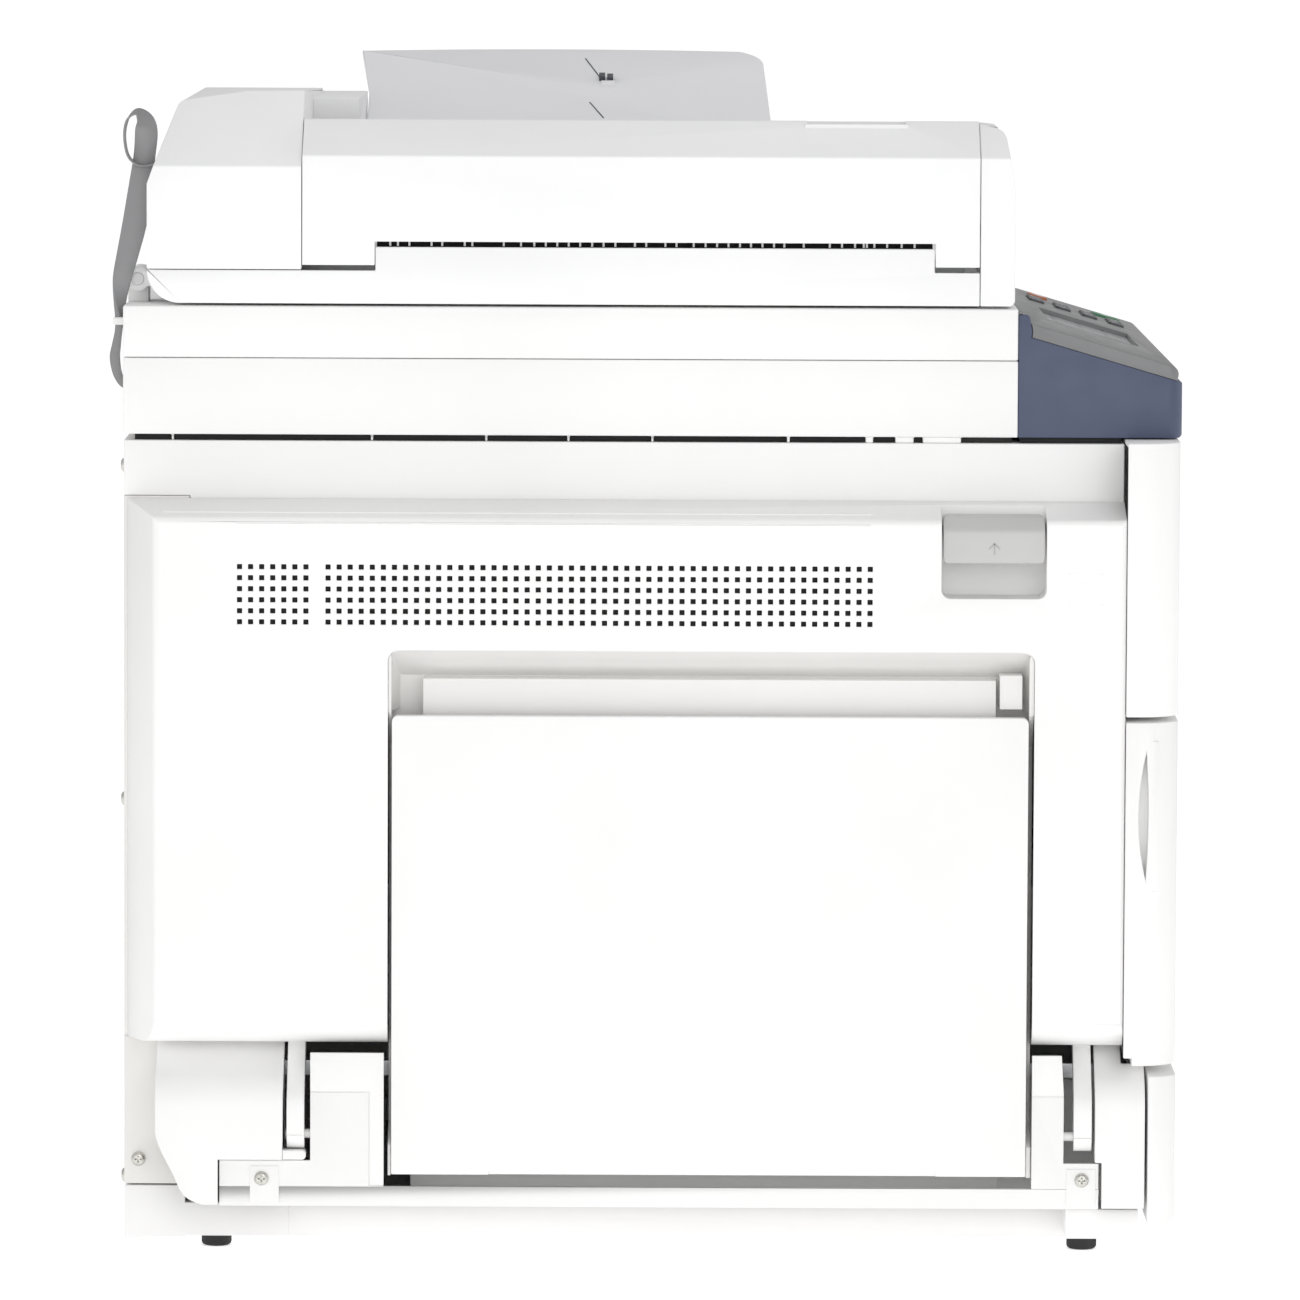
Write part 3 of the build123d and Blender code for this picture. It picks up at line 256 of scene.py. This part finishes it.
def make_materials():
    white = (0.875, 0.873, 0.868)
    return {
        "cover_white": moulded_plastic("cover_white", white),
        "feeder_white": moulded_plastic("feeder_white", (0.865, 0.865, 0.87), 0.46),
        "cover_grey": moulded_plastic("cover_grey", (0.78, 0.765, 0.745), 0.55),
        "base_plastic": moulded_plastic("base_plastic", (0.88, 0.875, 0.87), 0.5),
        "bracket_white": painted_metal("bracket_white", (0.86, 0.858, 0.85)),
        "liner_white": moulded_plastic("liner_white", (0.82, 0.81, 0.795), 0.5),
        "tray_grey": moulded_plastic("tray_grey", (0.84, 0.84, 0.86), 0.48, 0.0008),
        "guide_grey": moulded_plastic("guide_grey", (0.62, 0.62, 0.645), 0.45),
        "latch_grey": moulded_plastic("latch_grey", (0.52, 0.52, 0.515), 0.45),
        "latch_mark": moulded_plastic("latch_mark", (0.40, 0.40, 0.40), 0.5),
        "symbol_white": smooth_plastic("symbol_white", (0.85, 0.85, 0.85), 0.5),
        "panel_navy": moulded_plastic("panel_navy", (0.062, 0.078, 0.135), 0.5, 0.0007, 0.00005, 0.05),
        "bezel_grey": moulded_plastic("bezel_grey", (0.185, 0.187, 0.19), 0.36, 0.0006, 0.00003, 0.03),
        "screen_glass": touch_screen("screen_glass"),
        "key_grey": smooth_plastic("key_grey", (0.09, 0.092, 0.10), 0.4),
        "key_green": smooth_plastic("key_green", (0.035, 0.20, 0.085), 0.35),
        "key_orange": smooth_plastic("key_orange", (0.50, 0.14, 0.05), 0.35),
        "legend": smooth_plastic("legend", (0.05, 0.055, 0.07), 0.5),
        "foot_rubber": rubber("foot_rubber", (0.022, 0.022, 0.023)),
        "frame_steel": zinc_steel("frame_steel", (0.60, 0.61, 0.62)),
        "hinge_steel": painted_metal("hinge_steel", (0.78, 0.78, 0.775)),
        "screw_steel": zinc_steel("screw_steel", (0.62, 0.61, 0.57), (60.0, 60.0, 60.0), 0.28),
        "inlet_black": smooth_plastic("inlet_black", (0.02, 0.02, 0.021), 0.35),
        "cartridge_plastic": moulded_plastic("cartridge_plastic", (0.06, 0.06, 0.065), 0.45),
        "cartridge_dark": moulded_plastic("cartridge_dark", (0.04, 0.04, 0.043), 0.5),
        "belt_film": smooth_plastic("belt_film", (0.03, 0.026, 0.024), 0.18, 0.4),
        "platen_glass": clear_glass("platen_glass"),
        "cable_grey": smooth_plastic("cable_grey", (0.24, 0.24, 0.245), 0.42),
        "roller_rubber": rubber("roller_rubber", (0.10, 0.10, 0.105)),
        "roller_silicone": rubber("roller_silicone", (0.36, 0.12, 0.07), 0.5),
        "pad_white": foam_sheet("pad_white", (0.88, 0.88, 0.88)),
        # Painted shade: a near-black matte material that stands in for the shade inside openings and gaps.
        "painted_shade_black": moulded_plastic("painted_shade_black", (0.02, 0.02, 0.021), 0.8),
    }


MATERIALS = make_materials()


# ------------------------------------------------------------------ mesh helpers
def smooth_by_angle(mesh):
    for polygon in mesh.polygons:
        polygon.use_smooth = True
    mesh.set_sharp_from_angle(angle=math.radians(SMOOTH_ANGLE))


def finish_piece(mesh, name, body, slot, material=None, nodes=()):
    """Links a mesh as a piece that rides on a body, unless body is None."""
    mesh.materials.clear()
    mesh.materials.append(MATERIALS[material or slot])
    piece = bpy.data.objects.new(name, mesh)
    bpy.context.scene.collection.objects.link(piece)
    if body:
        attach(piece, body)
    if nodes:
        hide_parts(*nodes)
    return piece


# Faces that turn by less than this many degrees are joined; the document tray's crowned edge needs less.
FLAT_ANGLE = {"document_tray": 0.1}


def rounded_copy(node, width):
    """A mesh of the node's shape with its sharp edges rounded."""
    bm = bmesh.new()
    bm.from_mesh(NODES[node].data)
    bmesh.ops.remove_doubles(bm, verts=bm.verts, dist=1e-6)
    flat = math.radians(FLAT_ANGLE.get(node, 1.0))
    bmesh.ops.dissolve_limit(bm, angle_limit=flat, verts=bm.verts, edges=bm.edges)
    limit = math.radians(SHARP_ANGLE)
    sharp = [edge for edge in bm.edges if len(edge.link_faces) == 2 and edge.calc_face_angle() > limit]
    bmesh.ops.bevel(
        bm, geom=sharp, offset=width, segments=2, profile=0.5, affect="EDGES", clamp_overlap=False)
    mesh = bpy.data.meshes.new(node)
    bm.to_mesh(mesh)
    bm.free()
    smooth_by_angle(mesh)
    return mesh


def refine(node, slot, width=EDGE, material=None):
    body = NODES[node]["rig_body"]
    mesh = rounded_copy(node, width)
    return finish_piece(mesh, node + "_piece", body, slot, material, [node])


def mesh_from(name, bm):
    mesh = bpy.data.meshes.new(name)
    bmesh.ops.recalc_face_normals(bm, faces=bm.faces)
    bm.to_mesh(mesh)
    bm.free()
    smooth_by_angle(mesh)
    return mesh


def add_box(bm, low, high, round_width=0.0, matrix=None):
    """Adds a closed box with rounded edges to a bmesh."""
    part = bmesh.new()
    corners = [(x, y, z) for x in (low[0], high[0]) for y in (low[1], high[1]) for z in (low[2], high[2])]
    verts = [part.verts.new(c) for c in corners]
    for quad in ((0, 1, 3, 2), (4, 6, 7, 5), (0, 4, 5, 1), (2, 3, 7, 6), (0, 2, 6, 4), (1, 5, 7, 3)):
        part.faces.new([verts[i] for i in quad])
    if round_width:
        bmesh.ops.bevel(
            part, geom=part.edges[:], offset=round_width, segments=3, profile=0.5, affect="EDGES",
            clamp_overlap=True)
    if matrix is not None:
        part.transform(matrix)
    merge(bm, part)


def merge(bm, part):
    scratch = bpy.data.meshes.new("scratch")
    part.to_mesh(scratch)
    part.free()
    bm.from_mesh(scratch)
    bpy.data.meshes.remove(scratch)


# ------------------------------------------------------------------ carried-over CAD shapes
SLOT_OF = {entry["node"]: entry["material_slot"] for entry in frame["record"]["subparts"]}
FEEDER_NODES = ("feeder_base", "feeder_rear_cover", "feeder_front_cover", "feeder_cover")
SPECIAL = ("case_screws", "dadf_cable")          # these get a finer piece of their own
# Edge rounding of nodes that are not rounded by EDGE: less where a node has small steps or thin lips.
EDGES = {
    "bypass_tray": 0.0006, "scanner_base": 0.0008, "scanner_top_cover": 0.0012, "top_left_cover": 0.0008,
    "panel_housing": 0.0005, "rear_cover": 0.0003, "right_cover": 0.001, "cover_a_shell": 0.0004,
    "cover_latch": 0.0008, "feeder_base": 0.0008, "document_tray": 0.0008, "hinge_bracket": 0.0002,
    "cover_a_liner": 0.0002, "panel_bezel": 0.0004,
}


def refine_all():
    for node in sorted(NODES):
        if node in SPECIAL:
            continue
        slot = SLOT_OF[node]
        material = "feeder_white" if node in FEEDER_NODES else None
        refine(node, slot, EDGES.get(node, EDGE), material)


# ------------------------------------------------------------------ camera, light and floor
def make_camera():
    data = bpy.data.cameras.new("camera")
    data.lens = LENS
    data.sensor_width = SENSOR
    camera = bpy.data.objects.new("camera", data)
    bpy.context.scene.collection.objects.link(camera)
    look = Matrix.Rotation(math.radians(-90), 4, "Z")
    tilt = Matrix.Rotation(math.radians(90) - CAMERA_PITCH, 4, "X")
    roll = Matrix.Rotation(CAMERA_ROLL, 4, "Z")
    camera.matrix_world = Matrix.Translation((LEFT - CAMERA_DISTANCE, 0, CAMERA_HEIGHT)) @ look @ tilt @ roll
    bpy.context.scene.camera = camera


def area_light(name, place, target, size, power):
    data = bpy.data.lights.new(name, "AREA")
    data.shape = "RECTANGLE"
    data.size, data.size_y = size
    data.energy = power
    light = bpy.data.objects.new(name, data)
    bpy.context.scene.collection.objects.link(light)
    light.location = place
    light.rotation_euler = (Vector(target) - Vector(place)).to_track_quat("-Z", "Y").to_euler()


def make_light():
    world = bpy.data.worlds.new("studio")
    bpy.context.scene.world = world
    world.use_nodes = True
    background = world.node_tree.nodes["Background"]
    background.inputs["Color"].default_value = rgba(1.0, 1.0, 1.0)
    background.inputs["Strength"].default_value = 0.60
    middle = (0, 0, 0.4)
    area_light("front_soft", (-4.2, -0.6, 1.3), middle, (3.2, 2.4), 41)
    area_light("rear_side_soft", (-3.0, 3.4, 1.6), middle, (2.2, 2.2), 10)
    area_light("user_side_soft", (0.6, -4.2, 1.8), middle, (2.6, 2.2), 16)
    area_light("top_soft", (0.4, 0.2, 3.6), middle, (2.6, 2.6), 8)


def make_floor():
    g = Graph("studio_floor")
    tint = g.mix(g.noise(1.5, 2.0), rgba(0.90, 0.90, 0.90), rgba(0.93, 0.93, 0.93))
    g.principled(Base_Color=tint, Roughness=0.9, Emission_Color=rgba(1, 1, 1), Emission_Strength=0.50)
    bm = bmesh.new()
    bmesh.ops.create_grid(bm, x_segments=4, y_segments=4, size=70.0)
    mesh = bpy.data.meshes.new("floor")
    bm.to_mesh(mesh)
    bm.free()
    mesh.materials.append(g.material)
    floor = bpy.data.objects.new("floor", mesh)
    bpy.context.scene.collection.objects.link(floor)


# ------------------------------------------------------------------ screws and cable
def screw_mesh(bm, place, outward):
    """A pan head with a washer face and a cross recess, facing outward."""
    head = bmesh.new()
    rings = ((0.0, 0.0), (4.7, 0.0), (4.7, 0.8), (4.3, 1.7), (3.2, 2.5), (2.4, 2.75))
    add_lathe(head, [(r * MM, z * MM) for r, z in rings], 32)
    recess = bmesh.new()
    arm, depth = 0.55 * MM, 1.6 * MM
    reach = 2.3 * MM
    outline = [(arm, arm), (arm, reach), (-arm, reach), (-arm, arm), (-reach, arm), (-reach, -arm),
               (-arm, -arm), (-arm, -reach), (arm, -reach), (arm, -arm), (reach, -arm), (reach, arm)]
    top = 2.75 * MM
    rim = [recess.verts.new((x, y, top)) for x, y in outline]
    floor = [recess.verts.new((x * 0.55, y * 0.55, top - depth)) for x, y in outline]
    count = len(outline)
    for i in range(count):
        j = (i + 1) % count
        recess.faces.new((rim[i], rim[j], floor[j], floor[i]))
    recess.faces.new(floor)
    segments = 48
    circle = []
    for i in range(segments):
        angle = 2 * math.pi * i / segments
        circle.append(recess.verts.new((2.4 * MM * math.cos(angle), 2.4 * MM * math.sin(angle), top)))
    edges = [recess.edges.new((circle[i], circle[(i + 1) % segments])) for i in range(segments)]
    edges += [recess.edges.get((rim[i], rim[(i + 1) % count])) for i in range(count)]
    bmesh.ops.triangle_fill(recess, edges=edges, use_beauty=True, normal=(0, 0, 1))
    merge(head, recess)
    bmesh.ops.remove_doubles(head, verts=head.verts, dist=2e-5)
    turn = Vector((0, 0, 1)).rotation_difference(outward).to_matrix().to_4x4()
    head.transform(Matrix.Translation(place) @ turn)
    merge(bm, head)


def add_lathe(bm, profile, segments):
    """Spins (radius, height) points about Z; a zero radius makes a pole."""
    rings = []
    for radius, height in profile:
        if radius == 0:
            rings.append([bm.verts.new((0, 0, height))])
            continue
        ring = []
        for i in range(segments):
            angle = 2 * math.pi * i / segments
            ring.append(bm.verts.new((radius * math.cos(angle), radius * math.sin(angle), height)))
        rings.append(ring)
    for low, high in zip(rings, rings[1:]):
        for i in range(segments):
            j = (i + 1) % segments
            if len(low) == 1:
                bm.faces.new((low[0], high[j], high[i]))
            elif len(high) == 1:
                bm.faces.new((low[i], low[j], high[0]))
            else:
                bm.faces.new((low[i], low[j], high[j], high[i]))


def islands(mesh):
    """The separate solids of a mesh, each as a list of its points."""
    bm = bmesh.new()
    bm.from_mesh(mesh)
    bmesh.ops.remove_doubles(bm, verts=bm.verts, dist=1e-6)
    groups = []
    seen = set()
    for start in bm.verts:
        if start in seen:
            continue
        group, stack = [], [start]
        seen.add(start)
        while stack:
            vert = stack.pop()
            group.append(vert.co.copy())
            for edge in vert.link_edges:
                other = edge.other_vert(vert)
                if other not in seen:
                    seen.add(other)
                    stack.append(other)
        groups.append(group)
    bm.free()
    return groups


def make_screws():
    bm = bmesh.new()
    for points in islands(NODES["case_screws"].data):
        low = Vector([min(p[i] for p in points) for i in range(3)])
        high = Vector([max(p[i] for p in points) for i in range(3)])
        size = high - low
        axis = min(range(3), key=lambda i: size[i])
        middle = (low + high) / 2
        outward = Vector((0, 0, 0))
        outward[axis] = 1.0 if middle[axis] > 0 else -1.0
        seat = middle - outward * size[axis] / 2
        screw_mesh(bm, seat, outward)
    mesh = mesh_from("case_screws", bm)
    finish_piece(mesh, "case_screws_piece", "machine", "screw_steel", None, ["case_screws"])


# Centre line of the feeder's flat lead (y, z), the twist of its width from the X axis, half its width and
# half its thickness, in mm and degrees.
LEAD = (
    (326, 717, 0, 7, 0.7), (336, 716, 0, 7, 0.7), (343.5, 722, 0, 7, 0.7), (346, 735, 0, 7, 0.7),
    (344, 746, 0, 7, 0.7), (338, 751, 15, 7, 0.7), (332.8, 746, 45, 7.4, 0.7), (331.8, 737, 75, 7.6, 0.7),
    (333, 722, 85, 7.2, 0.7), (336, 700, 88, 7.8, 0.7), (339.5, 678, 90, 8, 0.7), (344, 658, 90, 7.2, 0.7),
    (347.5, 643, 84, 6.3, 0.8), (349, 630, 60, 5, 1.0), (349.3, 618, 20, 5, 1.6), (350, 608, 0, 5, 2.3),
    (351.5, 598, 0, 5, 2.8), (352.5, 590, 0, 5, 3.2), (351, 580, 0, 5, 2.8), (347.5, 573, 0, 5, 2.2),
    (343.5, 571, 0, 5, 2.0),
)
LEAD_X = -222.0


def smooth_path(points, steps):
    """Catmull-Rom points through a list of tuples."""
    path = []
    last = len(points) - 1
    for i in range(last):
        around = [points[max(0, min(last, i + k))] for k in (-1, 0, 1, 2)]
        for step in range(steps):
            t = step / steps
            path.append([
                0.5 * (2 * b + (c - a) * t + (2 * a - 5 * b + 4 * c - d) * t * t
                       + (3 * b - a - 3 * c + d) * t ** 3)
                for a, b, c, d in zip(*around)])
    path.append(list(points[-1]))
    return path


def make_cable():
    """The feeder's flat lead: a twisting ribbon."""
    path = smooth_path(LEAD, 7)
    bm = bmesh.new()
    rings = []
    for i, (y, z, twist, half_width, half_thick) in enumerate(path):
        before, after = path[max(0, i - 1)], path[min(len(path) - 1, i + 1)]
        tangent = Vector((0, after[0] - before[0], after[1] - before[1])).normalized()
        across = Vector((1, 0, 0))
        lift = tangent.cross(across)
        angle = math.radians(twist)
        width = across * math.cos(angle) + lift * math.sin(angle)
        thick = tangent.cross(width)
        centre = Vector((LEAD_X, y, z))
        ring = []
        for u, v in ((-1, -0.4), (-0.9, -1), (0.9, -1), (1, -0.4), (1, 0.4), (0.9, 1), (-0.9, 1), (-1, 0.4)):
            ring.append(bm.verts.new((centre + width * (u * half_width) + thick * (v * half_thick)) * MM))
        rings.append(ring)
    for low, high in zip(rings, rings[1:]):
        for i in range(8):
            j = (i + 1) % 8
            bm.faces.new((low[i], low[j], high[j], high[i]))
    bm.faces.new(rings[0])
    bm.faces.new(rings[-1])
    mesh = mesh_from("dadf_cable", bm)
    piece = finish_piece(mesh, "dadf_cable_piece", None, "cable_grey", None, ["dadf_cable"])
    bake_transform(piece)
    clip = bmesh.new()
    add_box(clip, (-0.2290, 0.3455, 0.6115), (-0.2150, 0.3535, 0.6165), 0.001)
    finish_piece(mesh_from("lead_clip", clip), "lead_clip", "machine", "bracket_white")


# ------------------------------------------------------------------ small parts
# Left faces of the spacer ribs under the scanner (y, width) in mm, as in the CAD part.
GAP_RIBS = (
    (313.0, 1.4), (182.6, 1.4), (107.8, 1.4), (54.0, 1.4), (-1.0, 1.4), (-90.0, 1.8), (-143.0, 5.0),
    (-166.0, 12.0), (-190.5, 25.0))
# Teeth in the slot of the document feeder's cover (y in mm): unevenly spaced guide ribs.
SLOT_TEETH = (
    171.0, 166.0, 158.5, 144.0, 137.0, 122.3, 117.3, 96.8, 85.5, 76.8, 69.3, 61.8, 54.3, 46.8, 39.0, 31.5,
    23.8, 11.0, 3.6, -8.9, -16.2, -27.4, -35.2, -42.7, -50.2, -57.7, -64.9, -72.4, -79.9, -86.7, -99.4,
    -116.4, -124.4, -132.9, -138.6, -140.7, -145.6, -153.9, -163.4, -171.9)


def box_piece(name, body, slot, boxes, round_width=0.0002, material=None):
    """One piece made of boxes given in mm as (x0, x1, y0, y1, z0, z1)."""
    bm = bmesh.new()
    for x0, x1, y0, y1, z0, z1 in boxes:
        add_box(bm, (x0 * MM, y0 * MM, z0 * MM), (x1 * MM, y1 * MM, z1 * MM), round_width)
    return finish_piece(mesh_from(name, bm), name, body, slot, material)


def make_linings():
    """Painted shade: near-black sheets behind the vents and the slot, near-black strips in the gap under the
    scanner, and a grey pad in the grip pocket.
    """
    # Painted shade: a near-black sheet behind the vent holes stands in for the shade inside the cover.
    vents = [(-291.8, -291.0, -149, 272, 416, 463.5)]
    box_piece("vent_painted_shade", "cover_a", "cartridge_dark", vents, 0.0001, "painted_shade_black")
    # Painted shade: a near-black sheet behind the feeder cover's slot stands in for the shade in the slot.
    slot = [(-235.8, -234.8, -184, 180, 650, 690)]
    box_piece("slot_painted_shade", "lid", "cartridge_dark", slot, 0.0002, "painted_shade_black")
    # Painted shade: near-black strips between the spacer ribs in the gap under the scanner stand in for the
    # shade in that gap.
    edges = [338.0]
    for centre, width in GAP_RIBS:
        edges += [centre + width / 2 + 0.1, centre - width / 2 - 0.1]
    edges.append(-236.5)
    gap_shade_boxes = [(-246.5, -243.5, low, high, 537.7, 541.3) for high, low in zip(edges[0::2], edges[1::2])]
    gap_shade_boxes.append((-246.5, -243.5, -308.0, -241.5, 537.7, 541.3))
    box_piece("gap_painted_shade", "machine", "cartridge_dark", gap_shade_boxes, 0.0002, "painted_shade_black")
    # Painted shade: a grey pad on the floor and far wall of the feeder cover's grip pocket stands in for the
    # shade in the pocket.
    grip = [(-221.8, -200.1, -165.9, -102.1, 735.4, 735.8), (-200.5, -200.1, -165.9, -102.1, 735.8, 742.0)]
    box_piece("grip_painted_shade", "jam_cover", "guide_grey", grip, 0.0001)


def make_slot_teeth():
    """The comb in the feeder cover's slot."""
    boxes = [(-249.6, -243.6, -184, 179.5, 668.2, 670.5)]
    boxes += [(-246.6, -243.6, y - 0.65, y + 0.65, 664.9, 668.3) for y in SLOT_TEETH]
    box_piece("slot_comb", "jam_cover", "cover_white", boxes, 0.0001, "feeder_white")


def turned_box(bm, size, place, turn):
    """A box of a size centred on the origin, turned, then moved; all in metres."""
    half = [value / 2 for value in size]
    add_box(bm, [-value for value in half], half, 0.0001, Matrix.Translation(place) @ turn)


def make_latch_arrow():
    """A small moulded arrow that shows which way the latch lifts."""
    bm = bmesh.new()
    centre = Vector((-0.29355, -0.2239, 0.4712))
    turned_box(bm, (0.0005, 0.0009, 0.0072), centre, Matrix.Identity(4))
    for side in (-1, 1):
        place = centre + Vector((0, side * 0.0017, 0.0019))
        turned_box(bm, (0.0005, 0.0009, 0.0052), place, Matrix.Rotation(math.radians(45 * side), 4, "X"))
    finish_piece(mesh_from("latch_arrow", bm), "latch_arrow", "latch", "latch_grey", "latch_mark")


def make_cover_marks():
    """A blank moulded square beside the latch and the fine rib along the bulge's top."""
    y0, y1, z0, z1 = -294.3, -272.3, 434.8, 455.8
    boxes = [(-295.65, -295.2, y0, y1, z0, z0 + 0.6), (-295.65, -295.2, y0, y1, z1 - 0.6, z1),
             (-295.65, -295.2, y0, y0 + 0.6, z0, z1), (-295.65, -295.2, y1 - 0.6, y1, z0, z1),
             (-295.62, -295.2, y0 + 6.5, y1 - 6.5, z0 + 6.5, z1 - 6.5)]
    box_piece("cover_mark", "cover_a", "cover_white", boxes, 0.0001)
    box_piece("cover_rib", "cover_a", "cover_white", [(-284.4, -283.2, -144.6, 318, 491.6, 493.2)], 0.0002)


def on_tray(along, y, height):
    """A point on the document tray, in metres, from mm along the slope."""
    turn = Matrix.Rotation(-TRAY_SLOPE, 4, "Y")
    return TRAY_ORIGIN + turn @ Vector((along * MM, y * MM, height * MM))


def make_tray_details():
    """Two scored lines and the catch of the document tray, and the blank paper-size ticks."""
    bm = bmesh.new()
    for start, end in (((294.8, 47.2), (247.0, 35.2)), ((198.9, 43.5), (164.9, 33.6))):
        middle = [(a + b) / 2 for a, b in zip(start, end)]
        length = math.dist(start, end)
        angle = math.atan2(end[1] - start[1], end[0] - start[0])
        turn = Matrix.Rotation(-TRAY_SLOPE, 4, "Y") @ Matrix.Rotation(angle, 4, "Z")
        turned_box(bm, (length * MM, 0.001, 0.0004), on_tray(*middle, 0.0), turn)
    turn = Matrix.Rotation(-TRAY_SLOPE, 4, "Y")
    for along, y in ((250, 35.2), (248, 29.6)):
        turned_box(bm, (0.009, 0.0042, 0.0036), on_tray(along, y, 1.4), turn)
    finish_piece(mesh_from("tray_catch", bm), "tray_catch", "doc_tray", "cartridge_dark", "legend")
    ticks = bmesh.new()
    for y in (-70, -40, 60, 90, 112, 134, 160, 182):
        turned_box(ticks, (0.012 if y % 4 else 0.018, 0.0007, 0.0003), on_tray(40, y, 0.0), turn)
    finish_piece(mesh_from("tray_ticks", ticks), "tray_ticks", "doc_tray", "tray_grey", "latch_mark")


LEGENDS = {"key_star": "*", "key_hash": "#"}
LEGENDS.update({f"key_{digit}": str(digit) for digit in range(10)})


def key_top(node):
    """Middle of a key's upper face."""
    points = [v.co for v in NODES[node].data.vertices]
    level = max(p.dot(PANEL_NORMAL) for p in points)
    face = [p for p in points if p.dot(PANEL_NORMAL) > level - 0.00002]
    low = Vector([min(p[i] for p in face) for i in range(3)])
    high = Vector([max(p[i] for p in face) for i in range(3)])
    return (low + high) / 2


def make_legends():
    """Numbers printed on the number keys, and plain symbols on start and stop."""
    turn = Matrix.Rotation(PANEL_SLOPE, 4, "X")
    for node, text in LEGENDS.items():
        curve = bpy.data.curves.new(node + "_text", "FONT")
        curve.body = text
        curve.size = LEGEND_SIZE
        curve.extrude = 0.00004
        curve.align_x = "CENTER"
        curve.align_y = "CENTER"
        text_object = bpy.data.objects.new(node + "_text", curve)
        bpy.context.scene.collection.objects.link(text_object)
        bpy.context.view_layer.update()
        depsgraph = bpy.context.evaluated_depsgraph_get()
        mesh = bpy.data.meshes.new_from_object(text_object.evaluated_get(depsgraph))
        bpy.data.objects.remove(text_object)
        mesh.transform(Matrix.Translation(key_top(node) + PANEL_NORMAL * 0.00003) @ turn)
        finish_piece(mesh, node + "_legend", node + "_cap", "pad_white", "symbol_white")
    for node, corners in (("key_start", 3), ("key_stop", 24)):
        bm = bmesh.new()
        add_lathe(bm, [(0.0, 0.0), (SYMBOL_R, 0.0), (SYMBOL_R, 0.00012), (0.0, 0.00012)], corners)
        bm.transform(Matrix.Translation(key_top(node)) @ turn)
        mesh = mesh_from(node + "_symbol", bm)
        finish_piece(mesh, node + "_symbol", node + "_cap", "pad_white", "symbol_white")


# ------------------------------------------------------------------ build
def main():
    make_camera()
    make_light()
    make_floor()
    refine_all()
    make_screws()
    make_cable()
    make_linings()
    make_slot_teeth()
    make_latch_arrow()
    make_cover_marks()
    make_tray_details()
    make_legends()


main()
view_settings = bpy.context.scene.view_settings
view_settings.view_transform = "Standard"
